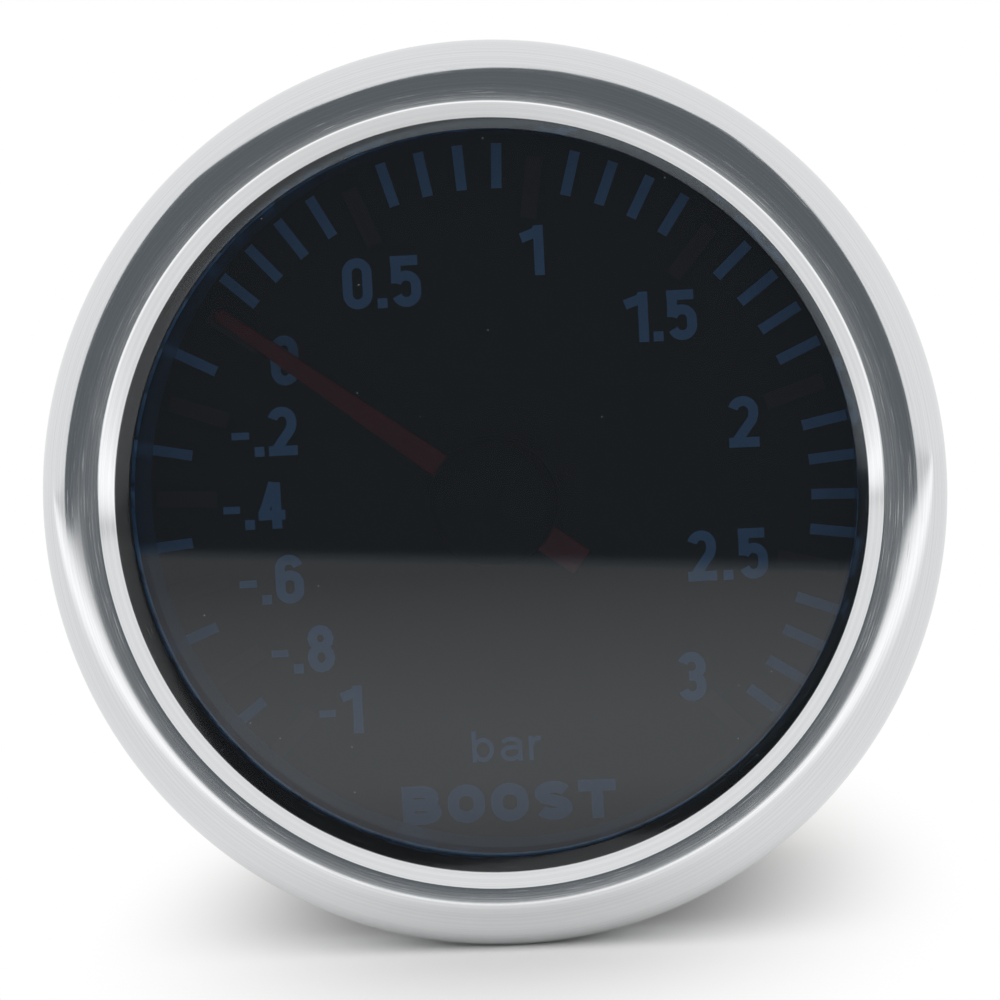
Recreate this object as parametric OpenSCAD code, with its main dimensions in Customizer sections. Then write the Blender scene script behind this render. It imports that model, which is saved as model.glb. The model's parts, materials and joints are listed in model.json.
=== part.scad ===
// Round dashboard boost gauge, 52 mm barrel, with a bourdon tube movement.
// The dial faces -Y and +Z is up. The origin is on the gauge's axis, in the plane where the
// back of the bezel meets the panel. Lengths are millimetres, angles are degrees.
// Each piece is drawn as seen from the front, with z towards the viewer, and facing() stands it up.

/* [Case] */
// Outside diameter of the case barrel that goes through the panel
case_d = 52; // [51:0.5:54]
// Depth of the case behind the panel
case_depth = 32; // [31.5:0.5:45]
// Wall of the case
case_wall = 0.8; // [0.6:0.1:1.2]
// Outer rounding at the back edge of the case
case_edge_r = 0.7; // [0.3:0.1:1]
// Width of the flange that the bezel is rolled over
case_flange_w = 2.4; // [1.8:0.1:2.6]
// Thickness of that flange
case_flange_t = 1.2; // [0.8:0.1:1.4]
// Wall of the white sleeve inside the case
sleeve_wall = 1; // [0.6:0.1:1.4]

/* [Bezel and lens] */
// Width by which the bezel's rim stands out past the case barrel
bezel_overhang = 4; // [4:0.25:7]
// Height of the bezel's crest in front of the panel
bezel_h = 8; // [7.5:0.25:10]
// Radius of the rounded outer side of the bezel
bezel_outer_r = 3; // [2.4:0.1:3.2]
// Width of the bezel's crest, which leans in a little
crest_w = 1; // [0.6:0.05:1.2]
// Width of the slope inside the crest
slope_w = 1.2; // [0.9:0.05:1.5]
// Angle of that slope
slope_angle = 38; // [32:1:45]
// Thickness of the lip that is rolled behind the flange
bezel_lip_t = 0.8; // [0.6:0.1:1]
// Gap between that lip and the case barrel
bezel_lip_gap = 1; // [0.8:0.1:1.2]
// Width by which the bezel's edge covers the lens
lens_cover_w = 1; // [0.7:0.1:2.2]
// Depth of the lens seat below the bezel's crest
seat_drop = 3; // [2.5:0.1:4]
// Height of the edge round the opening
opening_edge_t = 0.35; // [0.2:0.05:0.6]
// Thickness of the rubber seal in front of the lens
seal_t = 0.4; // [0.3:0.1:0.8]
// Thickness of the lens
lens_t = 1.5; // [1:0.1:2]
// Bevel round the lens
lens_bevel = 0.2; // [0.1:0.05:0.4]

/* [Dial] */
// Distance from the back of the lens to the dial
dial_gap = 6.5; // [6:0.1:7.5]
// Wall of the dark ring between lens and dial
spacer_wall = 0.8; // [0.5:0.1:0.8]
// Thickness of the dial
dial_t = 0.6; // [0.3:0.1:0.8]
// Thickness of the clear plate that lights the dial from behind
light_plate_t = 1.5; // [1:0.1:2]
// Hole in the dial
dial_hole_d = 3.6; // [3.4:0.1:5]

/* [Scale] */
// Distance of the pointer's axis below the case's axis
axis_drop = 0.85; // [0:0.05:1.1]
// Distance of the pointer's axis to the left of the case's axis
axis_left = 0.35; // [0:0.05:0.5]
// Angle of the mark for zero, from +X, counterclockwise as seen from the front
zero_mark_angle = 144.5; // [100:0.5:180]
// Angle by which the needle rests past the zero mark
rest_past_zero = 1.5; // [0:0.1:3]

/* [Pointer] */
// Length of the needle from the axis to its tip
needle_l = 23.1; // [18:0.1:23.1]
// Width of the needle where it leaves the cap
needle_root_w = 1.9; // [1.4:0.1:2.4]
// Width of the needle at its tip
needle_tip_w = 0.9; // [0.5:0.1:1.2]
// Thickness of the needle
needle_t = 1; // [0.6:0.1:1.2]
// Gap between the dial and the needle
needle_gap = 1.2; // [1.1:0.1:1.8]
// Length of the short tail from the axis
tail_l = 7.3; // [6:0.1:9]
// Width of the tail
tail_w = 2; // [1.4:0.1:2.6]
// Diameter of the cap over the pointer's middle
cap_d = 8.8; // [7:0.1:10]
// Height of the cap's crown above the needle
cap_crown = 1.4; // [1:0.1:1.6]
// Diameter of the brass bush that grips the arbor
bush_d = 3; // [2.4:0.1:3]

/* [Movement] */
// Thickness of each movement plate
plate_t = 1; // [0.8:0.1:1.2]
// Distance between the movement plates
plate_gap = 9; // [8.5:0.1:9.2]
// Distance from the sector's axis to the middle of the tube
sector_edge = 7; // [6.5:0.1:7.5]
// Gap between the movement and the clear plate behind the dial
movement_gap = 2.5; // [2.1:0.1:2.9]
// Teeth on the pinion
pinion_teeth = 12; // [12:1:13]
// Teeth that the sector would have as a full wheel
sector_teeth = 96; // [94:1:98]
// Direction from the pointer's axis to the sector's axis
sector_side_angle = -54.4; // [-58:0.1:-52]
// Thickness of the sector
sector_t = 1; // [0.6:0.1:1.2]
// Face width of the pinion
pinion_face = 2; // [1.6:0.1:2.4]
// Diameter of the pinion arbor
pinion_arbor_d = 1.5; // [1.2:0.05:1.5]
// Diameter of the sector arbor between the plates
sector_arbor_d = 2; // [1.6:0.1:2.4]
// Diameter of the arbors' thin pivots
pivot_d = 0.9; // [0.7:0.05:1]
// Radial running clearance of the pivots and pins
pivot_clear = 0.05; // [0.03:0.01:0.07]
// Diameter of the pillars between the plates
pillar_d = 2.5; // [2:0.1:3]
// Turns of the hairspring
hairspring_turns = 4.5; // [3.5:0.5:5]
// Thickness of the hairspring's strip
hairspring_strip = 0.12; // [0.1:0.01:0.16]
// Height of the hairspring's strip
hairspring_h = 0.6; // [0.4:0.05:0.8]
// Outer radius of the hairspring
hairspring_r = 4.6; // [4:0.1:4.8]

/* [Linkage] */
// Arm of the sector's tail, from its axis to the link pin
tail_arm = 4.5; // [4.2:0.1:4.6]
// Direction of that arm at rest
tail_arm_angle = -44; // [-46:1:-42]
// Length of the link between its pins
link_l = 7; // [6.8:0.1:7.2]
// Direction from the sector's pin to the tube's pin at rest
link_angle = 53; // [51:1:55]
// Thickness of the link
link_t = 0.6; // [0.4:0.05:0.8]
// Gap between the link and the pieces beside it
link_gap = 0.3; // [0.2:0.05:0.4]
// Diameter of the link pins
link_pin_d = 1.2; // [1:0.05:1.3]
// Radial play of the link's hole at the tube's pin
open_pivot_play = 0.18; // [0.16:0.01:0.22]

/* [Bourdon tube] */
// Distance from the middle of the tube to the white sleeve
tube_room = 3.5; // [3:0.1:3.8]
// Angle at which the tube leaves the socket block
tube_start_angle = -105; // [-108:1:-103]
// Angle that the tube covers, clockwise
tube_sweep = 280; // [277:1:282]
// Width of the flattened tube along the gauge's axis
tube_w = 6; // [5:0.1:6.4]
// Thickness of the flattened tube
tube_t = 1.6; // [1.2:0.1:2]
// Wall of the tube
tube_wall = 0.3; // [0.2:0.05:0.4]

/* [Socket and inlet] */
// Distance from the stem's axis to the case wall below it, with the pointer centred
inlet_edge = 11.2; // [11:0.1:11.7]
// Diameter of the threaded stem
stem_d = 10.28; // [9.6:0.02:10.4]
// Length of the stem behind the case
stem_l = 12; // [11:0.5:16]
// Bore of the stem
stem_bore_d = 3; // [2:0.1:3.4]
// Thickness of the fibre washer under the lock nut
fibre_washer_t = 0.8; // [0.5:0.1:1]
// Width of the lock nut across its flats
lock_nut_af = 14; // [13.6:0.1:14.4]
// Thickness of the lock nut
lock_nut_t = 3.6; // [3:0.1:4]
// Length of the hexagon on the hose spigot
spigot_hex_l = 9; // [8:0.5:12]
// Outside diameter of the hose spigot
spigot_d = 4; // [3.6:0.1:5]
// Length of the hose spigot
spigot_l = 12; // [10:0.5:16]
// Bore of the hose spigot
spigot_bore_d = 2.2; // [1.6:0.1:2.4]

/* [Studs and clamp] */
// Distance from each stud's axis to the case wall
stud_edge = 9.2; // [8.2:0.1:9.7]
// Diameter of the studs
stud_d = 4; // [3.8:0.1:4.2]
// Length of the studs behind the case
stud_l = 26; // [26:0.5:30]
// Width of the stud nuts across their flats
stud_nut_af = 7; // [6.8:0.1:7.4]
// Thickness of the stud nuts
stud_nut_t = 3.2; // [2.6:0.1:3.4]
// Width of the clamp's strap
strap_w = 12; // [10:0.5:12.4]
// Thickness of the clamp's strap
strap_t = 1.5; // [1.2:0.1:1.8]
// Gap between the clamp's legs and the case barrel
strap_gap = 1; // [0.8:0.1:1.1]
// Gap from the back of the bezel to the clamp's feet, where the panel goes
panel_gap = 6; // [5.5:0.5:7]
// Gap between the back of the case and the clamp's strap
web_gap = 9; // [9:0.5:11.5]
// Thickness of the lock washers
lock_washer_t = 0.8; // [0.6:0.1:1]
// Diameter of the thumb nuts
thumb_nut_d = 10; // [9:0.2:11]
// Length of the thumb nuts' knurled head
thumb_head_l = 4; // [3:0.2:5]
// Length of the thumb nuts' plain collar
thumb_collar_l = 2; // [1.4:0.2:2.4]

/* [Lamp] */
// Distance from the lamp's axis to the case wall
lamp_edge = 11.2; // [11:0.1:11.7]
// Diameter of the lamp holder's barrel
holder_d = 9; // [8:0.1:9.2]
// Depth of the lamp holder inside the case
holder_in = 10; // [8:0.5:11]
// Diameter of the lamp holder's flange
holder_flange_d = 13; // [12:0.2:13.4]
// Thickness of the lamp holder's flange
holder_flange_t = 1.5; // [1:0.1:2]
// Length of the lamp holder's grip
grip_l = 7; // [5:0.5:8]
// Thickness of the lamp holder's grip
grip_t = 3.6; // [2.6:0.1:4]
// Diameter of the bulb
bulb_d = 5; // [4:0.1:5.4]
// Length of the bulb in front of its holder
bulb_l = 9; // [7:0.5:10]
// Width of the lamp's terminal blades
blade_w = 2.8; // [2:0.1:3]
// Thickness of the lamp's terminal blades
blade_t = 0.5; // [0.4:0.1:0.8]
// Length of the lamp's terminal blades behind the grip
blade_l = 7; // [5:0.5:9]

/* [Hidden] */
$fn = 96;

// One overrun for all cuts, and the fits between pieces
cut = 0.5;
slip = 0.2;
hole_clear = 0.1;
chamfer = 0.3;

// Radii of the front stack
case_r = case_d / 2;
case_in_r = case_r - case_wall;
bezel_r = case_r + bezel_overhang;
bezel_crest_r = bezel_r - bezel_outer_r;
crest_in_r = bezel_crest_r - crest_w;
slope_in_r = crest_in_r - slope_w;
stack_r = case_in_r - slip;
lens_r = case_in_r;
opening_r = lens_r - lens_cover_w;
lens_pocket_r = lens_r + slip;
flange_r = case_r + case_flange_w;
flange_pocket_r = flange_r + slip;
lip_r = case_r + bezel_lip_gap;

// Levels, with z = 0 at the panel and z towards the front
seat_z = bezel_h - seat_drop;
lens_front_z = seat_z - seal_t;
lens_back_z = lens_front_z - lens_t;
dial_front_z = lens_back_z - dial_gap;
dial_back_z = dial_front_z - dial_t;
light_back_z = dial_back_z - light_plate_t;
flange_back_z = bezel_lip_t;
flange_front_z = flange_back_z + case_flange_t;
case_back_z = -case_depth;
floor_z = case_back_z + case_wall;
outer_arc_z = bezel_h - bezel_outer_r;
crest_fall = 0.1;
crest_in_z = bezel_h - crest_fall;
slope_in_z = crest_in_z - slope_w * tan(slope_angle);

// The movement stands on the socket block, which stands on the floor of the case
table_z = light_back_z - movement_gap - 2 * plate_t - plate_gap;
block_h = table_z - floor_z;
back_plate_z = table_z + plate_t;
front_plate_z = back_plate_z + plate_gap;
plate_front_z = front_plate_z + plate_t;
sector_lift_share = 0.28;
sector_z = back_plate_z + plate_gap * sector_lift_share;
sector_front_z = sector_z + sector_t;
link_z = sector_front_z + link_gap;
link_front_z = link_z + link_t;
tube_mid_z = (link_z + link_front_z) / 2;
end_play = 0.3;
pinion_z = sector_z + (sector_t - pinion_face) / 2;
needle_z = dial_front_z + needle_gap;
needle_front_z = needle_z + needle_t;
arbor_tip_z = needle_front_z + end_play;
dial_hole_r = dial_hole_d / 2;
pointer_angle = zero_mark_angle - rest_past_zero;
needle_eye_r = bush_d / 2 + needle_t;
cap_top_z = needle_front_z + cap_crown;
cap_round_r = 1;
cap_roof_z = arbor_tip_z + hole_clear;

// Gear geometry
pressure_angle = 25;
addendum_share = 0.9;
dedendum_share = 1.15;
backlash = 0.07;
sleeve_in_r = stack_r - sleeve_wall;
tube_r = sleeve_in_r - tube_room;
centre_distance = tube_r - sector_edge;
gear_module = 2 * centre_distance / (pinion_teeth + sector_teeth);
function along(a, r) = [r * cos(a), r * sin(a)];
sector_pos = along(sector_side_angle, centre_distance);
sector_facing = sector_side_angle + 180;
first_tooth = -8;
last_tooth = 4;
sector_hub_wall = 1.2;
sector_hub_r = sector_arbor_d / 2 + sector_hub_wall;
rim_w = 2.2;
rim_end_angle = 10;
spoke_w = 1.8;

// Linkage points at rest
sector_pin_pos = sector_pos + along(tail_arm_angle, tail_arm);
tip_pin_pos = sector_pin_pos + along(link_angle, link_l);
link_eye_r = link_pin_d / 2 + open_pivot_play + link_gap;
tail_eye_r = link_pin_d / 2 + 2 * link_gap;
tail_root_share = 1.4;
pin_head_t = link_gap + hole_clear;
pin_head_r = link_pin_d / 2 + link_gap;

// Bourdon tube and its two ends
tube_end_angle = tube_start_angle - tube_sweep;
tube_end_width = tube_w + 2 * hole_clear;
end_block_angle = 7;
horn_angle = 15;
end_block_wall = 0.8;
end_in_r = tube_r - tube_t / 2 - end_block_wall;
end_out_r = tube_r + tube_t / 2 + end_block_wall;

// Socket block, as seen from the front: its reach to each side of the stem's axis
block_left_reach = 9;
block_right_reach = 6.5;
block_top_reach = 5.5;
block_bottom_reach = 6;
stem_r = stem_d / 2;
inlet_drop = case_in_r - inlet_edge;
inlet_pos = [0, -inlet_drop];
passage_d = 1.6;
passage_depth = 4.5;
passage_mid_z = table_z - passage_depth;
horn_mid_angle = tube_start_angle + horn_angle / 2;

// Places of the pillars and of the screws into the socket block, as seen from the front.
// All but pillar_b are measured from the stem's axis.
pillar_a_x = -8;
pillar_a_y = 1;
pillar_b_x = 10;
pillar_b_y = 4;
screw_a_x = -4.5;
screw_a_y = 3.5;
screw_b_x = 3.5;
screw_b_y = -4;
pillar_a = inlet_pos + [pillar_a_x, pillar_a_y];
pillar_b = [pillar_b_x, pillar_b_y];
plate_screw_a = inlet_pos + [screw_a_x, screw_a_y];
plate_screw_b = inlet_pos + [screw_b_x, screw_b_y];
plate_edge = 1.1;
screw_d = 1.4;
screw_head_d = 2.6;
screw_head_t = 0.7;
screw_l = 3;
slot_w = 0.4;
slot_depth = 0.3;
collet_wall = 0.75;
hairspring_in_r = pinion_arbor_d / 2 + collet_wall;
hairspring_drop = 2.2;
hairspring_z = front_plate_z - hairspring_drop;
hairspring_angle = 60;
collet_r = hairspring_in_r - hairspring_strip / 2;
peg_d = 1.2;
spiral_steps = 30;

// Inlet stack behind the case
washer_back_z = case_back_z - fibre_washer_t;
lock_nut_back_z = washer_back_z - lock_nut_t;
stem_back_z = case_back_z - stem_l;
spigot_overlap = 6;
spigot_front_z = stem_back_z + spigot_overlap;
spigot_hex_back_z = spigot_front_z - spigot_hex_l;
spigot_back_z = spigot_hex_back_z - spigot_l;
spigot_hex_share = 0.93;
spigot_hex_af = lock_nut_af * spigot_hex_share;

// Studs, clamp and thumb nuts
stud_x = case_in_r - stud_edge;
stud_head_d = 7;
stud_head_t = 1.5;
stud_back_z = case_back_z - stud_l;
stud_nut_back_z = case_back_z - stud_nut_t;
leg_in_x = case_r + strap_gap;
leg_out_x = leg_in_x + strap_t;
foot_z = -panel_gap;
web_front_z = case_back_z - web_gap;
web_back_z = web_front_z - strap_t;
web_hole_clear = 0.25;
web_hole_r = stud_d / 2 + web_hole_clear;
bend_r = 1.5;
washer_z = web_back_z - lock_washer_t;
lock_washer_w = 1.8;
lock_washer_r = stud_d / 2 + lock_washer_w;
lock_washer_slit = 0.6;
collar_back_z = washer_z - thumb_collar_l;
nut_back_z = collar_back_z - thumb_head_l;
thumb_collar_step = 1.2;
thumb_collar_r = thumb_nut_d / 2 - thumb_collar_step;
nut_clear = 0.06;
knurl_count = 30;
knurl_depth = 0.35;

// Lamp
lamp_pos = [0, case_in_r - lamp_edge];
holder_hole_r = holder_d / 2 + slip;
holder_front_z = floor_z + holder_in;
flange_z = case_back_z - holder_flange_t;
grip_back_z = flange_z - grip_l;
bulb_base_depth = 5;
bulb_front_z = holder_front_z + bulb_l;
blade_spacing = 4.4;
blade_root = 3;

// Stands a piece that is drawn as seen from the front into the gauge's own frame
module facing() rotate([90, 0, 0]) children();

// The same for the movement and the inlet, which are drawn from the pointer's axis
axis_pos = [-axis_left, -axis_drop];
module in_movement() facing() translate(axis_pos) children();

// A round solid or a ring between two levels
module disc(r, z0, z1) translate([0, 0, z0]) cylinder(r = r, h = z1 - z0);
module ring(r_out, r_in, z0, z1) difference() {
    disc(r_out, z0, z1);
    disc(r_in, z0 - cut, z1 + cut);
}

// A flat piece of a 2D outline between two levels
module plate(z0, z1) translate([0, 0, z0]) linear_extrude(z1 - z0) children();
module dot(p, r) translate(p) circle(r = r);

// The outline of a bar between two round ends of two radii, a little narrower than they are
bar_share = 0.88;
module neck2d(a, ra, b, rb) {
    t = atan2(b[1] - a[1], b[0] - a[0]) + 90;
    wa = bar_share * along(t, ra);
    wb = bar_share * along(t, rb);
    polygon([a + wa, a - wa, b - wb, b + wb]);
}
module bar2d(a, ra, b, rb) {
    dot(a, ra);
    dot(b, rb);
    neck2d(a, ra, b, rb);
}

// A sector of a ring, from angle a0 to a1, between two levels
module arc_block(r_in, r_out, a0, a1, z0, z1)
    rotate([0, 0, a0]) rotate_extrude(angle = a1 - a0)
        translate([r_in, z0]) square([r_out - r_in, z1 - z0]);

// Involute teeth: half the angle of a tooth at radius r, in degrees
function involute(a) = tan(a) * 180 / PI - a;
function tooth_half(r, teeth) =
    let (pitch_r = gear_module * teeth / 2, base_r = pitch_r * cos(pressure_angle))
    90 / teeth - backlash / 2 / pitch_r * 180 / PI + involute(pressure_angle)
        - (r > base_r ? involute(acos(base_r / r)) : 0);
function flank_radii(teeth, steps) =
    let (
        pitch_r = gear_module * teeth / 2,
        low = max(pitch_r * cos(pressure_angle), pitch_r - dedendum_share * gear_module),
        high = pitch_r + addendum_share * gear_module
    )
    [for (i = [0:steps]) low + (high - low) * i / steps];
module tooth2d(teeth, root_r, steps = 5) {
    radii = flank_radii(teeth, steps);
    low_half = tooth_half(radii[0], teeth);
    right = [for (r = radii) along(-tooth_half(r, teeth), r)];
    left = [for (i = [steps:-1:0]) along(tooth_half(radii[i], teeth), radii[i])];
    polygon(concat([along(-low_half, root_r)], right, left, [along(low_half, root_r)]));
}
function root_radius(teeth) = gear_module * (teeth / 2 - dedendum_share);
tooth_pitch = 360 / sector_teeth;
sector_end_share = 0.1;
sector_from = (first_tooth - sector_end_share) * tooth_pitch;
sector_to = (last_tooth + 1 + sector_end_share) * tooth_pitch;
sector_root_r = root_radius(sector_teeth);

// A hexagon with bevelled corners between two levels, flats up and down
module hex_block(af, z0, z1) intersection() {
    translate([0, 0, z0]) cylinder(d = af / cos(30), h = z1 - z0, $fn = 6);
    hex_r = af / 2 / cos(30);
    bevel = hex_r - af / 2;
    rotate_extrude() polygon([
        [0, z0], [af / 2, z0], [hex_r, z0 + bevel / 2], [hex_r, z1 - bevel / 2], [af / 2, z1], [0, z1]
    ]);
}

// A slotted cheese head screw whose head sits on a face at z
module slotted_screw(z) difference() {
    union() {
        disc(screw_d / 2, z - screw_l, z + slot_depth);
        disc(screw_head_d / 2, z, z + screw_head_t);
    }
    translate([-screw_head_d, -slot_w / 2, z + screw_head_t - slot_depth])
        cube([2 * screw_head_d, slot_w, slot_depth + cut]);
}

// Polished ring, rolled over the flange of the case
module bezel_ring() color("#C6C8CB") facing() rotate_extrude() difference() {
    union() {
        translate([bezel_crest_r, outer_arc_z]) intersection() {
            circle(r = bezel_outer_r);
            square(bezel_outer_r);
        }
        translate([bezel_crest_r, 0]) square([bezel_outer_r, outer_arc_z]);
        polygon([
            [opening_r, 0], [bezel_crest_r, 0], [bezel_crest_r, bezel_h], [crest_in_r, crest_in_z],
            [slope_in_r, slope_in_z], [opening_r, seat_z + opening_edge_t]
        ]);
    }
    translate([0, -cut]) square([lip_r, flange_back_z + 2 * cut]);
    translate([0, flange_back_z]) square([flange_pocket_r, case_flange_t]);
    translate([0, flange_front_z - cut]) square([lens_pocket_r, seat_z - flange_front_z + cut]);
}

// Smoked flat lens with a fine bevel
module lens() color("#1B2530", 0.6) facing() rotate_extrude() polygon([
    [0, lens_back_z], [lens_r - lens_bevel, lens_back_z], [lens_r, lens_back_z + lens_bevel],
    [lens_r, lens_front_z - lens_bevel], [lens_r - lens_bevel, lens_front_z], [0, lens_front_z]
]);

// Rubber ring between the bezel's edge and the lens
module lens_seal() color("#15181B") facing()
    ring(lens_r - lens_bevel, opening_r, lens_front_z, seat_z);

// Glossy pale blue ring that holds the lens off the dial
module spacer_ring() color("#8FB4D8") facing()
    ring(stack_r, stack_r - spacer_wall, dial_front_z, lens_back_z);

// Black dial
module dial_face() color("#0B0D10") facing() difference() {
    disc(stack_r, dial_back_z, dial_front_z);
    translate(axis_pos) disc(dial_hole_r, dial_back_z - cut, dial_front_z + cut);
}

// Clear plate that spreads the lamp's light behind the dial
module light_plate() color("#DCE6EC", 0.7) facing() difference() {
    disc(stack_r, light_back_z, dial_back_z);
    translate(axis_pos) disc(dial_hole_r, light_back_z - cut, dial_back_z + cut);
}

// White sleeve that carries the light plate and reflects the lamp
module reflector_sleeve() color("#EDEDE8") facing()
    ring(stack_r, sleeve_in_r, floor_z, light_back_z);

// Drawn steel can with a flange in front and holes in its floor
module case_shell() color("#17181A") facing() difference() {
    rotate_extrude() difference() {
        union() {
            translate([0, case_back_z]) square([case_r - case_edge_r, case_depth + flange_front_z]);
            translate([0, case_back_z + case_edge_r])
                square([case_r, case_depth + flange_front_z - case_edge_r]);
            translate([case_r - case_edge_r, case_back_z + case_edge_r]) circle(r = case_edge_r);
            translate([0, flange_back_z]) square([flange_r, case_flange_t]);
        }
        translate([-case_r, floor_z]) square([case_r + case_in_r, case_depth + bezel_h]);
        translate([-2 * case_r, case_back_z - cut]) square([2 * case_r, case_depth + bezel_h]);
    }
    translate(axis_pos + inlet_pos) disc(stem_r + hole_clear, case_back_z - cut, floor_z + cut);
    translate(lamp_pos) disc(holder_hole_r, case_back_z - cut, floor_z + cut);
    for (x = [-stud_x, stud_x])
        translate([x, 0]) disc(stud_d / 2 + hole_clear, case_back_z - cut, floor_z + cut);
}

// Translucent red needle with a short tail, drawn along +X and turned to its rest angle
module pointer_needle() color("#7C1516") in_movement() rotate([0, 0, pointer_angle]) difference() {
    plate(needle_z, needle_front_z) difference() {
        union() {
            polygon([
                [0, -needle_root_w / 2], [needle_l - needle_tip_w / 2, -needle_tip_w / 2],
                [needle_l, 0],
                [needle_l - needle_tip_w / 2, needle_tip_w / 2], [0, needle_root_w / 2]
            ]);
            translate([-tail_l, -tail_w / 2]) square([tail_l, tail_w]);
            circle(r = needle_eye_r);
        }
        circle(r = bush_d / 2);
    }
}

// Round black cap over the pointer's middle, slotted to sit down over the needle
module pointer_cap() color("#0A0A0B") in_movement() rotate([0, 0, pointer_angle]) difference() {
    rotate_extrude() union() {
        translate([0, needle_z]) square([cap_d / 2, cap_top_z - cap_round_r - needle_z]);
        translate([0, needle_z]) square([cap_d / 2 - cap_round_r, cap_top_z - needle_z]);
        translate([cap_d / 2 - cap_round_r, cap_top_z - cap_round_r]) circle(r = cap_round_r);
    }
    disc(needle_eye_r + hole_clear, needle_z - cut, needle_front_z);
    disc(bush_d / 2 + hole_clear, needle_z - cut, cap_roof_z);
    translate([-cap_d, -tail_w / 2 - hole_clear, needle_z - cut])
        cube([2 * cap_d, tail_w + 2 * hole_clear, needle_t + cut]);
}

// Brass bush pressed on the arbor
module pointer_bush() color("#B08D45") in_movement()
    ring(bush_d / 2, pinion_arbor_d / 2, dial_front_z + needle_gap / 2, arbor_tip_z - end_play);

// Arbor with the pinion's leaves cut on it
module pinion_arbor() color("#9A9CA0") in_movement() {
    disc(pivot_d / 2, table_z + end_play / 2, back_plate_z + 2 * end_play);
    disc(pinion_arbor_d / 2, back_plate_z + end_play, arbor_tip_z);
    rotate([0, 0, sector_side_angle]) plate(pinion_z, pinion_z + pinion_face) {
        circle(r = root_radius(pinion_teeth));
        for (i = [0:pinion_teeth - 1])
            rotate([0, 0, i * 360 / pinion_teeth]) tooth2d(pinion_teeth, 0);
    }
}

// Collet that holds the hairspring's inner end
module hairspring_collet() color("#B08D45") in_movement()
    ring(collet_r, pinion_arbor_d / 2, hairspring_z - end_play, hairspring_z + hairspring_h + end_play);

// Flat spiral spring
function spiral_r(a) =
    hairspring_in_r + (hairspring_r - hairspring_in_r) * a / (360 * hairspring_turns);
function spiral_side(offset, order) =
    [for (i = order) let (a = 360 / spiral_steps * i)
        along(hairspring_angle - 360 * hairspring_turns + a, spiral_r(a) + offset)];
spiral_count = hairspring_turns * spiral_steps;
module hairspring() color("#B9A36A") in_movement() plate(hairspring_z, hairspring_z + hairspring_h)
    polygon(concat(
        spiral_side(hairspring_strip / 2, [0:spiral_count]),
        spiral_side(-hairspring_strip / 2, [spiral_count:-1:0])
    ));

// Peg in the front plate that holds the hairspring's outer end
peg_pos = along(hairspring_angle, hairspring_r)
    + along(hairspring_angle + 90, peg_d / 2 + hole_clear / 2);
module hairspring_peg() color("#B08D45") in_movement() translate(peg_pos)
    disc(peg_d / 2, hairspring_z - end_play, plate_front_z);

// Toothed sector with a cut-out web and a tail arm
function rim_arc(r, a0, a1, steps = 12) = [for (i = [0:steps]) along(a0 + (a1 - a0) * i / steps, r)];
module sector_gear() color("#B08D45") in_movement() translate(sector_pos)
    plate(sector_z, sector_front_z) difference() {
        union() {
            rotate([0, 0, sector_facing]) {
                for (i = [first_tooth:last_tooth])
                    rotate([0, 0, (i + 0.5) * tooth_pitch])
                        tooth2d(sector_teeth, sector_root_r - gear_module);
                difference() {
                    polygon(concat([[0, 0]], rim_arc(sector_root_r, sector_from, sector_to)));
                    polygon(concat(
                        [along((sector_from + sector_to) / 2, sector_hub_r + spoke_w)],
                        rim_arc(sector_root_r - rim_w, sector_from + rim_end_angle, sector_to - rim_end_angle)
                    ));
                }
            }
            circle(r = sector_hub_r);
            bar2d([0, 0], tail_eye_r * tail_root_share, along(tail_arm_angle, tail_arm), tail_eye_r);
        }
        circle(r = sector_arbor_d / 2);
        dot(along(tail_arm_angle, tail_arm), link_pin_d / 2);
    }

// Sector arbor with a thin pivot at each end
module sector_arbor() color("#9A9CA0") in_movement() translate(sector_pos) {
    disc(pivot_d / 2, table_z + end_play / 2, plate_front_z - end_play / 2);
    disc(sector_arbor_d / 2, back_plate_z + end_play, front_plate_z - end_play);
}

// Pins with heads, one at each end of the link
module link_pin(z0) {
    disc(link_pin_d / 2, z0, link_front_z + hole_clear);
    disc(pin_head_r, link_front_z + hole_clear, link_front_z + hole_clear + pin_head_t);
}
module sector_link_pin() color("#9A9CA0") in_movement() translate(sector_pin_pos) link_pin(sector_z);
module tip_link_pin() color("#9A9CA0") in_movement() translate(tip_pin_pos) link_pin(sector_z);

// Link between the sector's tail and the tip of the tube
module link_bar() color("#B9A36A") in_movement() plate(link_z, link_front_z) difference() {
    bar2d(sector_pin_pos, link_eye_r, tip_pin_pos, link_eye_r);
    dot(sector_pin_pos, link_pin_d / 2 + pivot_clear);
    dot(tip_pin_pos, link_pin_d / 2 + open_pivot_play);
}

// End piece soldered on the tube's tip, with the lug for the link
tip_mid_angle = tube_end_angle - end_block_angle / 2;
module tube_tip() color("#B08D45") in_movement() difference() {
    union() {
        arc_block(end_in_r, end_out_r, tube_end_angle - end_block_angle, tube_end_angle,
            tube_mid_z - tube_end_width / 2, tube_mid_z + tube_end_width / 2);
        plate(sector_z, sector_front_z)
            bar2d(along(tip_mid_angle, tube_r), tail_eye_r, tip_pin_pos, tail_eye_r);
    }
    translate(tip_pin_pos) disc(link_pin_d / 2, sector_z - cut, sector_front_z + cut);
    translate(tip_pin_pos) disc(link_eye_r + link_gap, sector_front_z, plate_front_z);
}

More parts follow.
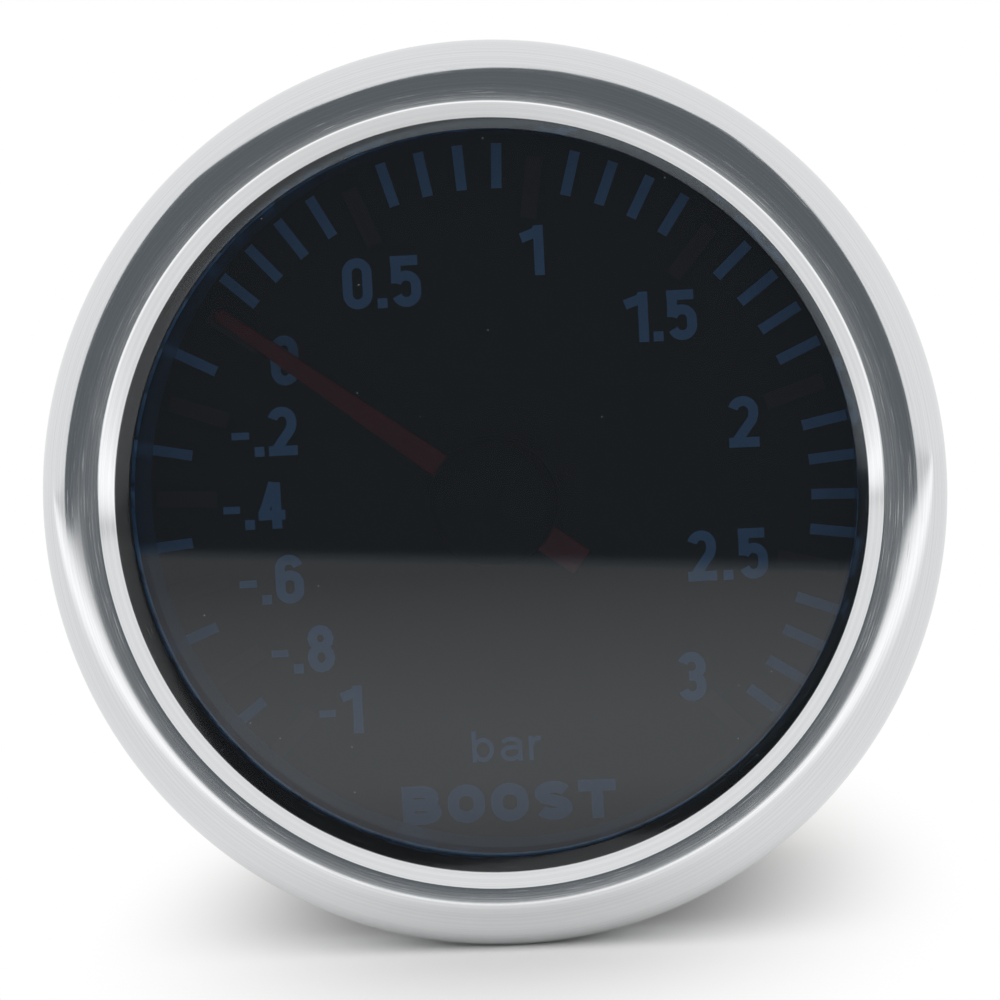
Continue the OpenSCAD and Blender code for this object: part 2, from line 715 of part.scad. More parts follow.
// Flattened tube bent into an arc, hollow from end to end
module flat_tube2d(w, t) {
    translate([-t / 2, -w / 2 + t / 2]) square([t, w - t]);
    for (s = [-1, 1]) translate([0, s * (w - t) / 2]) circle(d = t);
}
module bourdon_tube() color("#C2A24E") in_movement() rotate([0, 0, tube_end_angle])
    rotate_extrude(angle = tube_sweep) translate([tube_r, tube_mid_z]) difference() {
        flat_tube2d(tube_w, tube_t);
        flat_tube2d(tube_w - 2 * tube_wall, tube_t - 2 * tube_wall);
    }

// Brass block: carries the movement, holds the tube and ends in the threaded stem
horn_mid = along(horn_mid_angle, tube_r);
passage_run = horn_mid - inlet_pos;
module socket_block() color("#B08D45") in_movement() difference() {
    union() {
        translate([-block_left_reach, -inlet_drop - block_bottom_reach, floor_z])
            cube([block_left_reach + block_right_reach, block_bottom_reach + block_top_reach, block_h]);
        arc_block(end_in_r, end_out_r, tube_start_angle, tube_start_angle + horn_angle,
            floor_z + block_h / 2, tube_mid_z + tube_end_width / 2);
        translate(inlet_pos) disc(stem_r, stem_back_z + chamfer, floor_z + chamfer);
        translate(inlet_pos) disc(stem_r - chamfer, stem_back_z, floor_z);
    }
    translate(inlet_pos) disc(stem_bore_d / 2, stem_back_z - cut, passage_mid_z);
    translate([inlet_pos[0], inlet_pos[1], passage_mid_z])
        rotate([0, 90, atan2(passage_run[1], passage_run[0])])
            cylinder(d = passage_d, h = norm(passage_run));
    translate(horn_mid) disc(passage_d / 2, passage_mid_z - passage_d / 2, tube_mid_z);
    translate([horn_mid[0], horn_mid[1], tube_mid_z])
        rotate([0, -90, horn_mid_angle + 90])
            cylinder(d = tube_t - 2 * tube_wall, h = tube_r * horn_angle / 2 * PI / 180 + cut);
    for (p = [plate_screw_a, plate_screw_b])
        translate(p) disc(screw_d / 2, back_plate_z - screw_l - hole_clear, table_z + cut);
}

// Movement plates
plate_eye_r = pillar_d / 2 + plate_edge;
module plate_outline() {
    for (p = [pillar_a, sector_pos, pillar_b, [0, 0]]) dot(p, plate_eye_r);
    neck2d(pillar_a, plate_eye_r, sector_pos, plate_eye_r);
    neck2d(sector_pos, plate_eye_r, pillar_b, plate_eye_r);
    neck2d(pillar_b, plate_eye_r, [0, 0], plate_eye_r);
    neck2d([0, 0], plate_eye_r, pillar_a, plate_eye_r);
    polygon([pillar_a, sector_pos, pillar_b, [0, 0]]);
}
module movement_back_plate() color("#B08D45") in_movement() plate(table_z, back_plate_z) difference() {
    union() {
        plate_outline();
        bar2d(plate_screw_a, screw_head_d / 2 + plate_edge, plate_screw_b, screw_head_d / 2 + plate_edge);
    }
    circle(r = pivot_d / 2 + pivot_clear);
    dot(sector_pos, pivot_d / 2 + pivot_clear);
    for (p = [plate_screw_a, plate_screw_b]) dot(p, screw_d / 2);
}
module movement_front_plate() color("#B08D45") in_movement() plate(front_plate_z, plate_front_z)
    difference() {
        union() {
            plate_outline();
            bar2d([0, 0], pillar_d / 2 + plate_edge, peg_pos, peg_d / 2 + plate_edge);
        }
        circle(r = pinion_arbor_d / 2 + pivot_clear);
        dot(sector_pos, pivot_d / 2 + pivot_clear);
        dot(peg_pos, peg_d / 2);
        for (p = [pillar_a, pillar_b]) dot(p, screw_d / 2);
    }
module plate_pillars() color("#B08D45") in_movement() for (p = [pillar_a, pillar_b])
    translate(p) ring(pillar_d / 2, screw_d / 2, back_plate_z, front_plate_z);
module pillar_screws() color("#9A9CA0") in_movement() for (p = [pillar_a, pillar_b])
    translate(p) slotted_screw(plate_front_z);
module movement_screws() color("#9A9CA0") in_movement() for (p = [plate_screw_a, plate_screw_b])
    translate(p) slotted_screw(back_plate_z);

// Inlet fittings behind the case
module inlet_washer() color("#7A2E22") in_movement() translate(inlet_pos)
    ring(lock_nut_af / 2, stem_r, washer_back_z, case_back_z);
module inlet_lock_nut() color("#B08D45") in_movement() translate(inlet_pos) difference() {
    hex_block(lock_nut_af, lock_nut_back_z, washer_back_z);
    disc(stem_r, lock_nut_back_z - cut, washer_back_z + cut);
}
module inlet_spigot() color("#B08D45") in_movement() translate(inlet_pos) difference() {
    union() {
        hex_block(spigot_hex_af, spigot_hex_back_z, spigot_front_z);
        disc(spigot_d / 2, spigot_back_z + chamfer, stem_back_z);
        disc(spigot_d / 2 - chamfer, spigot_back_z, spigot_hex_back_z);
    }
    disc(stem_r, stem_back_z, spigot_front_z + cut);
    disc(spigot_bore_d / 2, spigot_back_z - cut, stem_back_z + cut);
}

// Two studs whose heads are inside the case, and the nuts that hold them
module mounting_studs() color("#B9BCC0") facing() for (x = [-stud_x, stud_x]) translate([x, 0]) {
    disc(stud_head_d / 2, floor_z, floor_z + stud_head_t);
    disc(stud_d / 2, stud_back_z + chamfer, floor_z + chamfer);
    disc(stud_d / 2 - chamfer, stud_back_z, floor_z);
}
module stud_nuts() color("#B9BCC0") facing() for (x = [-stud_x, stud_x]) translate([x, 0])
    difference() {
        hex_block(stud_nut_af, stud_nut_back_z, case_back_z);
        disc(stud_d / 2, stud_nut_back_z - cut, case_back_z + cut);
    }

// U-shaped clamp: a bent strap with two legs whose feet press on the panel's back
module bent_u2d(half_w, low, high, r) {
    translate([-half_w, low + r]) square([2 * half_w, high - low - r]);
    translate([r - half_w, low]) square([2 * (half_w - r), high - low]);
    for (s = [-1, 1]) translate([s * (half_w - r), low + r]) circle(r = r);
}
module clamp_bracket() color("#2A2B2E") facing() difference() {
    translate([0, strap_w / 2]) rotate([90, 0, 0]) linear_extrude(strap_w) difference() {
        bent_u2d(leg_out_x, web_back_z, foot_z, bend_r + strap_t);
        bent_u2d(leg_in_x, web_front_z, foot_z + cut, bend_r);
    }
    for (x = [-stud_x, stud_x])
        translate([x, 0]) disc(web_hole_r, web_back_z - cut, web_front_z + cut);
}

// Split washers under the thumb nuts
module lock_washers() color("#B9BCC0") facing() for (x = [-stud_x, stud_x]) translate([x, 0])
    difference() {
        ring(lock_washer_r, web_hole_r, washer_z, web_back_z);
        translate([0, -lock_washer_slit / 2, washer_z - cut])
            cube([lock_washer_r + cut, lock_washer_slit, lock_washer_t + 2 * cut]);
    }

// Knurled thumb nut on a stud
module knurl2d() polygon([for (i = [0:2 * knurl_count - 1])
    along(180 / knurl_count * i, thumb_nut_d / 2 - (i % 2) * knurl_depth)]);
module thumb_nut(x) translate([x, 0]) difference() {
    union() {
        disc(thumb_collar_r, nut_back_z + chamfer, washer_z);
        plate(nut_back_z, collar_back_z) knurl2d();
    }
    disc(stud_d / 2 + nut_clear, nut_back_z - cut, washer_z + cut);
}
module thumb_nut_left() color("#C9A24B") facing() thumb_nut(-stud_x);
module thumb_nut_right() color("#C9A24B") facing() thumb_nut(stud_x);

// Push-in lamp holder, its bulb and its two blades
module lamp_holder() color("#131416") facing() translate(lamp_pos) difference() {
    union() {
        disc(holder_d / 2, flange_z + chamfer, holder_front_z);
        disc(holder_flange_d / 2, flange_z, case_back_z);
        translate([-holder_d / 2, -grip_t / 2, grip_back_z]) cube([holder_d, grip_t, grip_l + chamfer]);
    }
    disc(bulb_d / 2 + hole_clear, holder_front_z - bulb_base_depth, holder_front_z + cut);
    for (s = [-1, 1]) translate([s * blade_spacing / 2 - blade_w / 2, -blade_t / 2, grip_back_z - cut])
        cube([blade_w, blade_t, blade_root + cut]);
}
module lamp_bulb() color("#E8ECEE", 0.7) facing() translate(lamp_pos) {
    disc(bulb_d / 2, holder_front_z - bulb_base_depth, bulb_front_z - bulb_d / 2);
    translate([0, 0, bulb_front_z - bulb_d / 2]) sphere(d = bulb_d);
}
module lamp_terminals() color("#C7C9CC") facing() translate(lamp_pos) for (s = [-1, 1])
    translate([s * blade_spacing / 2 - blade_w / 2, -blade_t / 2, grip_back_z - blade_l])
        cube([blade_w, blade_t, blade_l + blade_root]);

bezel_ring();
lens();
lens_seal();
spacer_ring();
dial_face();
light_plate();
reflector_sleeve();
case_shell();
pointer_needle();
pointer_cap();
pointer_bush();
pinion_arbor();
hairspring_collet();
hairspring();
hairspring_peg();
sector_gear();
sector_arbor();
sector_link_pin();
link_bar();
tip_link_pin();
tube_tip();
bourdon_tube();
socket_block();
movement_back_plate();
movement_front_plate();
plate_pillars();
pillar_screws();
movement_screws();
inlet_washer();
inlet_lock_nut();
inlet_spigot();
mounting_studs();
stud_nuts();
clamp_bracket();
lock_washers();
thumb_nut_left();
thumb_nut_right();
lamp_holder();
lamp_bulb();
lamp_terminals();
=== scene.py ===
import json
import math

import bmesh
import bpy
from mathutils import Matrix, Vector

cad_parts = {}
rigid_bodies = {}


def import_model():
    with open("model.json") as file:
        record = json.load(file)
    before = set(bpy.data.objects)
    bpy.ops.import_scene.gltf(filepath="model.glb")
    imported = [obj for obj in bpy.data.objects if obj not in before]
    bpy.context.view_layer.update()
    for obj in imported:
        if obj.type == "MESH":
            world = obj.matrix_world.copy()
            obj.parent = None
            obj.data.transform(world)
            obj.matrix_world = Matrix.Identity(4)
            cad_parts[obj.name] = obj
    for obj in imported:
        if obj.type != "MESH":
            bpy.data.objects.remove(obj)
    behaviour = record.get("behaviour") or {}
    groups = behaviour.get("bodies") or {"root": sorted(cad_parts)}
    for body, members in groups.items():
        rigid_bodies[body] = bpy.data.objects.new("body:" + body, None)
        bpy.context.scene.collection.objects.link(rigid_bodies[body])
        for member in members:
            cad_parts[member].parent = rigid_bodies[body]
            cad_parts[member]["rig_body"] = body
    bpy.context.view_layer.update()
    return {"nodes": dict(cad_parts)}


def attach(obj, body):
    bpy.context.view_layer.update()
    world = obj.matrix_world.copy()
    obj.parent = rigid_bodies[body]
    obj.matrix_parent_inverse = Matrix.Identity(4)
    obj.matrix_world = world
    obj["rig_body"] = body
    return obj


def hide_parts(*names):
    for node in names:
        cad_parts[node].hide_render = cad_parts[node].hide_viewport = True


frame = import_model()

NODES = frame["nodes"]
MM = 0.001

# The gauge is drawn as seen from the front, x right, y up and z towards the viewer, in
# millimetres. STAND_UP turns that to the CAD frame, where the dial faces -Y and +Z is up.
STAND_UP = Matrix.Rotation(math.radians(90), 4, "X") @ Matrix.Scale(MM, 4)

# Sizes of the CAD part, in millimetres, with two that differ: the bezel's crest runs 0.2 mm
# further in, as it does in the photo, and the thumb nuts' collars are 0.02 mm shorter.
BEZEL_R, BEZEL_H = 30.0, 8.0
BEZEL_OUTER_R = 3.0
CREST_R, CREST_IN_R, SLOPE_IN_R, OPENING_R = 27.0, 25.8, 24.8, 24.2
CREST_LEAN, SLOPE_ANGLE = 5.5, 38.0
LENS_R, LENS_FRONT, LENS_BACK = 25.2, 4.6, 3.1
LENS_POCKET_R, LENS_SEAT, LENS_LIP = 25.4, 5.0, 5.35
FLANGE_POCKET_R, FLANGE_FRONT, FLANGE_BACK, BARREL_HOLE_R = 28.6, 2.0, 0.8, 27.0
CAP_R, CAP_ROUND, CAP_TOP = 4.4, 1.0, 0.2
SPACER_OUT, SPACER_IN = 25.0, 24.2
DIAL_FRONT = -3.4
NEEDLE_BACK = -2.2
# The pointer's axis, which lies a little left of and below the case's axis
AXIS = (-0.35, -0.85)
INLET = (-0.35, -14.85)
CASE_BACK, CASE_WALL = -32.0, 0.8
STUD_X, STUD_R, STUD_END = 16.0, 2.0, -58.0
NUT_R, NUT_FRONT, NUT_BACK = 5.0, -45.3, -49.3
# The shorter collar stays off the washer, so that the two faces never cut as the nut turns
COLLAR_R, COLLAR_FRONT = 3.8, -43.32


# ---------------------------------------------------------------- colours and node trees

def colour(code):
    """An sRGB hex value as linear RGBA."""
    parts = [int(code[i:i + 2], 16) / 255 for i in (1, 3, 5)]
    linear = (c / 12.92 if c <= 0.04045 else ((c + 0.055) / 1.055) ** 2.4 for c in parts)
    return tuple(linear) + (1.0,)


def add(tree, kind, inputs=None, **settings):
    """A node with its settings; each input is a value, or the output socket it is linked to."""
    node = tree.nodes.new(kind)
    for name, value in settings.items():
        setattr(node, name, value)
    for key, value in (inputs or {}).items():
        socket = node.inputs[key]
        if isinstance(value, bpy.types.NodeSocket):
            tree.links.new(value, socket)
        else:
            socket.default_value = value
    return node


def math_node(tree, operation, a, b=0.0, c=0.0):
    """The result of an arithmetic node on up to three numbers or sockets."""
    return add(tree, "ShaderNodeMath", {0: a, 1: b, 2: c}, operation=operation).outputs[0]


def noise(tree, point, scale, detail=2.0, roughness=0.5):
    """A cloudy pattern from 0 to 1, with its scale in waves for each mm."""
    return add(tree, "ShaderNodeTexNoise", {"Vector": point, "Scale": scale, "Detail": detail,
                                            "Roughness": roughness}).outputs["Fac"]


def separate(tree, vector):
    """The parts X, Y and Z of a vector."""
    return add(tree, "ShaderNodeSeparateXYZ", {"Vector": vector}).outputs


def combine(tree, x=0.0, y=0.0, z=0.0):
    """A vector from its parts."""
    return add(tree, "ShaderNodeCombineXYZ", {"X": x, "Y": y, "Z": z}).outputs[0]


def length_of(tree, x, y):
    """The distance of a point (x, y) from the middle."""
    flat = combine(tree, x, y)
    return add(tree, "ShaderNodeVectorMath", {0: flat}, operation="LENGTH").outputs["Value"]


def map_range(tree, value, from_min, from_max, to_min=0.0, to_max=1.0, kind="LINEAR"):
    """A value carried over from one range to another, and held at its ends."""
    return add(tree, "ShaderNodeMapRange", {
        "Value": value, "From Min": from_min, "From Max": from_max,
        "To Min": to_min, "To Max": to_max}, interpolation_type=kind).outputs[0]


def finish_named(name):
    """An empty material with its output node, and a point in object space in millimetres."""
    material = bpy.data.materials.new(name)
    material.use_nodes = True
    tree = material.node_tree
    tree.nodes.clear()
    out = add(tree, "ShaderNodeOutputMaterial")
    place = add(tree, "ShaderNodeTexCoord").outputs["Object"]
    point = add(tree, "ShaderNodeMapping", {"Vector": place, "Scale": (1 / MM,) * 3}).outputs[0]
    return material, tree, out, point


def ramp(tree, value, stops):
    """A colour ramp from (position, hex) stops, or a ramp of greys from (position, number)."""
    node = add(tree, "ShaderNodeValToRGB", {"Fac": value})
    while len(node.color_ramp.elements) < len(stops):
        node.color_ramp.elements.new(1.0)
    for element, (position, tone) in zip(node.color_ramp.elements, stops):
        element.position = position
        element.color = colour(tone) if isinstance(tone, str) else (tone, tone, tone, 1)
    return node.outputs["Color"]


def cylindrical(tree, point, axis_x=0.0, axis_z=0.0):
    """Radius from an axis along Y, angle round it and place along it, in mm, as three sockets."""
    part = separate(tree, point)
    x = math_node(tree, "SUBTRACT", part["X"], axis_x)
    z = math_node(tree, "SUBTRACT", part["Z"], axis_z)
    return length_of(tree, x, z), math_node(tree, "ARCTAN2", z, x), part["Y"]


def bump(tree, height, depth_mm):
    """The normal of a height pattern whose full depth is depth_mm."""
    return add(tree, "ShaderNodeBump", {"Height": height, "Strength": 1.0,
                                        "Distance": depth_mm * MM}).outputs[0]


def principled(tree, out, inputs):
    """A Principled shader on the material's output."""
    shader = add(tree, "ShaderNodeBsdfPrincipled", inputs)
    tree.links.new(shader.outputs[0], out.inputs["Surface"])
    return shader


# ---------------------------------------------------------------- materials

GLASS_IOR, ACRYLIC_IOR = 1.5, 1.49


def polished_aluminium():
    # Aluminium ring, spun and then buffed. The eye gets soft mirror bands whose edges are a
    # little fringed, fine lines that run round the ring, and short slanting scratches of handling.
    material, tree, out, point = finish_named("buffed_aluminium")
    radius, angle, depth = cylindrical(tree, point)
    turned = combine(tree, radius, depth)
    lines = noise(tree, turned, 9.0, 3.0, 0.6)
    # Scratches: long cells laid at a slant to the ring, 0.07 mm wide and about 3 mm long
    spiral = math_node(tree, "MULTIPLY", angle, 27.0)
    slant = combine(tree, spiral, radius, depth)
    masks = []
    for turn, scale in ((0.9, (0.3, 14.0, 1.0)), (-0.6, (0.25, 12.0, 1.0))):
        aimed = add(tree, "ShaderNodeMapping", {"Vector": slant, "Rotation": (0, 0, turn),
                                                "Scale": scale}).outputs[0]
        cells = noise(tree, aimed, 1.0, 1.0)
        masks.append(ramp(tree, cells, ((0.65, 0.0), (0.76, 1.0))))
    scratches = math_node(tree, "MAXIMUM", masks[0], masks[1])
    wear = noise(tree, point, 0.16, 2.0)
    worn = math_node(tree, "MULTIPLY", scratches, wear)
    rough = math_node(tree, "MULTIPLY_ADD", lines, 0.10, 0.06)
    rough = math_node(tree, "MULTIPLY_ADD", worn, 0.25, rough)
    relief = math_node(tree, "MULTIPLY_ADD", worn, -0.3, lines)
    tint = ramp(tree, lines, ((0.3, "#DCDEE0"), (0.7, "#E9EAEB")))
    principled(tree, out, {"Base Color": tint, "Metallic": 1.0, "Roughness": rough,
                           "Normal": bump(tree, relief, 0.0008)})
    return material


def smoked_glass():
    # Smoked mineral glass. It is a plain pane, so the eye gets a straight view of the dial through
    # a deep blue-grey tint, a mirror of the room on the front, and a thin film and specks of dust.
    material, tree, out, point = finish_named("smoked_glass")
    clear = add(tree, "ShaderNodeBsdfTransparent", {"Color": colour("#BBC6CE")}).outputs[0]
    gloss = add(tree, "ShaderNodeBsdfGlossy", {"Color": (1, 1, 1, 1), "Roughness": 0.02}).outputs[0]
    mirror = add(tree, "ShaderNodeFresnel", {"IOR": GLASS_IOR}).outputs[0]
    pane = add(tree, "ShaderNodeMixShader", {0: mirror, 1: clear, 2: gloss}).outputs[0]
    dust = add(tree, "ShaderNodeTexVoronoi", {"Vector": point, "Scale": 0.42,
                                              "Randomness": 1.0}).outputs["Distance"]
    speck = ramp(tree, dust, ((0.018, 1.0), (0.028, 0.0)))
    front = separate(tree, point)["Y"]
    on_front = math_node(tree, "LESS_THAN", front, 0.1 - LENS_FRONT)
    film = math_node(tree, "MULTIPLY_ADD", speck, 0.35, 0.009)
    amount = math_node(tree, "MULTIPLY", film, on_front)
    grain = add(tree, "ShaderNodeBsdfDiffuse", {"Color": colour("#A9B3BC")}).outputs[0]
    whole = add(tree, "ShaderNodeMixShader", {0: amount, 1: pane, 2: grain}).outputs[0]
    tree.links.new(whole, out.inputs["Surface"])
    return material


def moulded(name, base, dark, roughness, grain_mm=0.35, depth_mm=0.004, specular=0.5):
    """A moulded plastic or rubber: fine pebbled grain and slightly uneven colour."""
    material, tree, out, point = finish_named(name)
    grain = noise(tree, point, 1 / grain_mm, 3.0)
    cloud = noise(tree, point, 0.12, 2.0)
    tint = ramp(tree, cloud, ((0.3, dark), (0.7, base)))
    rough = math_node(tree, "MULTIPLY_ADD", cloud, 0.12, roughness - 0.06)
    principled(tree, out, {"Base Color": tint, "Roughness": rough, "Specular IOR Level": specular,
                           "Normal": bump(tree, grain, depth_mm)})
    return material


def metal(name, base, dark, roughness, lines_mm=0.12, axis=None, depth_mm=0.0015, stain=0.12):
    """A metal whose tool marks run round an axis along Y, or along Z where no axis is given."""
    material, tree, out, point = finish_named(name)
    if axis is None:
        marks = add(tree, "ShaderNodeMapping", {"Vector": point, "Scale": (1, 1, 0.02)}).outputs[0]
    else:
        radius, _, depth = cylindrical(tree, point, *axis)
        marks = combine(tree, radius, depth)
    lines = noise(tree, marks, 1 / lines_mm, 2.0)
    cloud = noise(tree, point, 0.35, 3.0, 0.65)
    tint = ramp(tree, cloud, ((0.32, dark), (0.62, base)))
    rough = math_node(tree, "MULTIPLY_ADD", lines, 0.14, roughness - 0.07)
    rough = math_node(tree, "MULTIPLY_ADD", cloud, stain, rough)
    principled(tree, out, {"Base Color": tint, "Metallic": 1.0, "Roughness": rough,
                           "Normal": bump(tree, lines, depth_mm)})
    return material


def enamel_on_steel():
    # Stoved black enamel on drawn steel: glossy, with a fine orange peel of about 0.8 mm.
    material, tree, out, point = finish_named("black_stoved_enamel")
    peel = noise(tree, point, 1.25, 1.0)
    rub = noise(tree, point, 0.2, 5.0)
    rough = math_node(tree, "MULTIPLY_ADD", rub, 0.22, 0.16)
    tint = ramp(tree, rub, ((0.35, "#17181A"), (0.7, "#202224")))
    principled(tree, out, {"Base Color": tint, "Roughness": rough, "Coat Weight": 0.4,
                           "Coat Roughness": 0.12, "Normal": bump(tree, peel, 0.012)})
    return material


def dial_black():
    # Matt black screen-printed film with a faint grain, so that the dial stays dark and even.
    material, tree, out, point = finish_named("matt_black_film")
    grain = noise(tree, point, 6.0, 2.0)
    tint = ramp(tree, grain, ((0.3, "#1A1516"), (0.7, "#221C1D")))
    principled(tree, out, {"Base Color": tint, "Roughness": 0.62, "Specular IOR Level": 0.3,
                           "Normal": bump(tree, grain, 0.002)})
    return material


def printed(name, base, dark, roughness=0.5):
    """Screen ink: a flat colour that is a little uneven where the mesh laid it."""
    material, tree, out, point = finish_named(name)
    mesh = noise(tree, point, 8.0, 2.0)
    tint = ramp(tree, mesh, ((0.3, dark), (0.7, base)))
    principled(tree, out, {"Base Color": tint, "Roughness": roughness,
                           "Normal": bump(tree, mesh, 0.001)})
    return material


def red_acrylic():
    # Translucent red acrylic, moulded: glossy, with light that spreads a little inside.
    material, tree, out, point = finish_named("translucent_red_acrylic")
    flow = noise(tree, point, 0.5, 2.0)
    tint = ramp(tree, flow, ((0.3, "#C42427"), (0.7, "#DC2C2E")))
    principled(tree, out, {"Base Color": tint, "Roughness": 0.2, "IOR": ACRYLIC_IOR,
                           "Transmission Weight": 0.25, "Subsurface Weight": 0.2,
                           "Subsurface Radius": (0.001, 0.0002, 0.0002)})
    return material


def clear(name, code, roughness):
    """Clear glass or acrylic with faint flow marks."""
    material, tree, out, point = finish_named(name)
    flow = noise(tree, point, 0.4, 1.0)
    principled(tree, out, {"Base Color": colour(code), "Roughness": roughness, "IOR": ACRYLIC_IOR,
                           "Transmission Weight": 1.0, "Normal": bump(tree, flow, 0.004)})
    return material


def vulcanised_fibre():
    # Red vulcanised fibre, pressed from paper: matt, with short fibres in the surface.
    material, tree, out, point = finish_named("red_vulcanised_fibre")
    stretched = add(tree, "ShaderNodeMapping", {"Vector": point, "Scale": (1, 1, 5)}).outputs[0]
    fibres = noise(tree, stretched, 1.6, 5.0)
    tint = ramp(tree, fibres, ((0.3, "#6E2419"), (0.7, "#8E3526")))
    principled(tree, out, {"Base Color": tint, "Roughness": 0.75,
                           "Normal": bump(tree, fibres, 0.02)})
    return material


ALUMINIUM = polished_aluminium()
SMOKED = smoked_glass()
ENAMEL = enamel_on_steel()
DIAL = dial_black()
BLUE_INK = printed("pale_blue_ink", "#9FCBF5", "#95C0EC")
RED_INK = printed("dark_red_ink", "#4A1A1C", "#421618")
RED_ACRYLIC = red_acrylic()
# Moulded ABS: the cap is near black and satin, so that it hardly shows behind the lens
BLACK_ABS = moulded("black_abs", "#121214", "#0C0C0E", 0.5, grain_mm=0.5, depth_mm=0.002,
                    specular=0.25)
# The spacer ring is pale blue styrene with a mirror-smooth wall that shows the dial's marks again
BLUE_STYRENE = moulded("pale_blue_styrene", "#8CC0F0", "#82B6E8", 0.10, grain_mm=2.0,
                       depth_mm=0.001)
NITRILE = moulded("black_nitrile_rubber", "#1A1B1C", "#131415", 0.6, grain_mm=0.3, depth_mm=0.006)
WHITE_STYRENE = moulded("white_styrene", "#EDEDE8", "#E2E2DC", 0.45)
# Phenolic lamp holder: moulded black with a slight satin grain
PHENOLIC = moulded("black_phenolic", "#1C1C1E", "#131315", 0.38, grain_mm=0.4, depth_mm=0.006)
CLEAR_ACRYLIC = clear("clear_acrylic", "#F1F5F7", 0.05)
BULB_GLASS = clear("bulb_glass", "#F6F8F8", 0.02)
FIBRE = vulcanised_fibre()
# Turned brass: yellow, with lathe marks of 0.1 mm and small dull patches of handling
TURNED_BRASS = metal("turned_brass", "#D9B66B", "#C6A056", 0.24, axis=AXIS)
NUT_BRASS = [metal("knurled_brass_%s" % side, "#D9B66B", "#C6A056", 0.24, axis=(x, 0))
             for side, x in (("left", -STUD_X), ("right", STUD_X))]
INLET_BRASS = metal("turned_inlet_brass", "#D6B063", "#C29A50", 0.26, axis=INLET)
# Rolled brass sheet, stamped: lines along the rolling direction
ROLLED_BRASS = metal("rolled_brass", "#D2AE62", "#BE994E", 0.32)
# Phosphor bronze: redder than brass, bright-drawn tube and strip
BRONZE = metal("phosphor_bronze", "#CE9C5E", "#A87540", 0.26)
GROUND_STEEL = metal("ground_steel", "#B9BBBE", "#A2A4A8", 0.22, axis=AXIS)
# Zinc plate: bright with a faint blue cast and small cloudy patches
ZINC_PLATE = metal("bright_zinc_plate", "#C9CDD2", "#A9AFB8", 0.24, stain=0.2)
# Black zinc on mild steel: dark, semi-matt, grey where the plate is thin
BLACK_ZINC = metal("black_zinc_plate", "#484A4E", "#37393D", 0.42, lines_mm=0.3, stain=0.18)


# ---------------------------------------------------------------- mesh helpers

def make(name, mesh, material, body, replaced=()):
    """Puts a finished mesh in the scene, on its body, in place of the CAD nodes it stands for."""
    piece = bpy.data.objects.new(name, mesh)
    bpy.context.scene.collection.objects.link(piece)
    if material is not None:
        mesh.materials.clear()
        mesh.materials.append(material)
    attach(piece, body)
    if replaced:
        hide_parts(*replaced)
    return piece


def smooth_by_angle(bm, degrees):
    """Smooth faces, with edges kept sharp where they turn more than the angle."""
    limit = math.radians(degrees)
    for face in bm.faces:
        face.smooth = True
    for edge in bm.edges:
        edge.smooth = len(edge.link_faces) == 2 and edge.calc_face_angle(0.0) < limit


def to_mesh(bm, name, degrees=35):
    """Closes up a bmesh drawn from the front, turns its faces outwards and stands it up."""
    bmesh.ops.remove_doubles(bm, verts=bm.verts, dist=1e-5)
    bmesh.ops.recalc_face_normals(bm, faces=bm.faces)
    smooth_by_angle(bm, degrees)
    bmesh.ops.transform(bm, matrix=STAND_UP, verts=bm.verts)
    mesh = bpy.data.meshes.new(name)
    bm.to_mesh(mesh)
    bm.free()
    return mesh


def arc(x, z, r, start, end, steps):
    """Points (radius, height) on an arc, angles in degrees."""
    angles = [math.radians(start + (end - start) * i / steps) for i in range(steps + 1)]
    return [(x + r * math.cos(a), z + r * math.sin(a)) for a in angles]


def lathe(profile, segments, centre=(0, 0)):
    """A closed profile of (radius, height) turned round the gauge's axis, as a bmesh."""
    bm = bmesh.new()
    rings = []
    for r, z in profile:
        if r < 1e-6:
            rings.append([bm.verts.new((centre[0], centre[1], z))] * segments)
        else:
            rings.append([bm.verts.new((centre[0] + r * math.cos(2 * math.pi * k / segments),
                                        centre[1] + r * math.sin(2 * math.pi * k / segments), z))
                          for k in range(segments)])
    for a, b in zip(rings, rings[1:] + rings[:1]):
        for k in range(segments):
            corners = []
            for v in (a[k], a[(k + 1) % segments], b[(k + 1) % segments], b[k]):
                if v not in corners:
                    corners.append(v)
            if len(corners) > 2:
                bm.faces.new(corners)
    return bm


def bevelled_copy(name, node, width_mm, material, degrees=30):
    """A CAD node's mesh, its doubles merged and its sharp edges rounded, in the node's place."""
    mesh = NODES[node].data.copy()
    bm = bmesh.new()
    bm.from_mesh(mesh)
    bmesh.ops.remove_doubles(bm, verts=bm.verts, dist=1e-6)
    bmesh.ops.dissolve_limit(bm, angle_limit=math.radians(1.0), verts=bm.verts, edges=bm.edges)
    bmesh.ops.recalc_face_normals(bm, faces=bm.faces)
    smooth_by_angle(bm, degrees)
    bm.to_mesh(mesh)
    bm.free()
    piece = make(name, mesh, material, NODES[node]["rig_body"], (node,))
    edge = piece.modifiers.new("rounded_edges", "BEVEL")
    edge.width = width_mm * MM
    edge.segments = 2
    edge.limit_method = "ANGLE"
    edge.angle_limit = math.radians(degrees)
    edge.harden_normals = True
    return piece


# ---------------------------------------------------------------- geometry node helpers

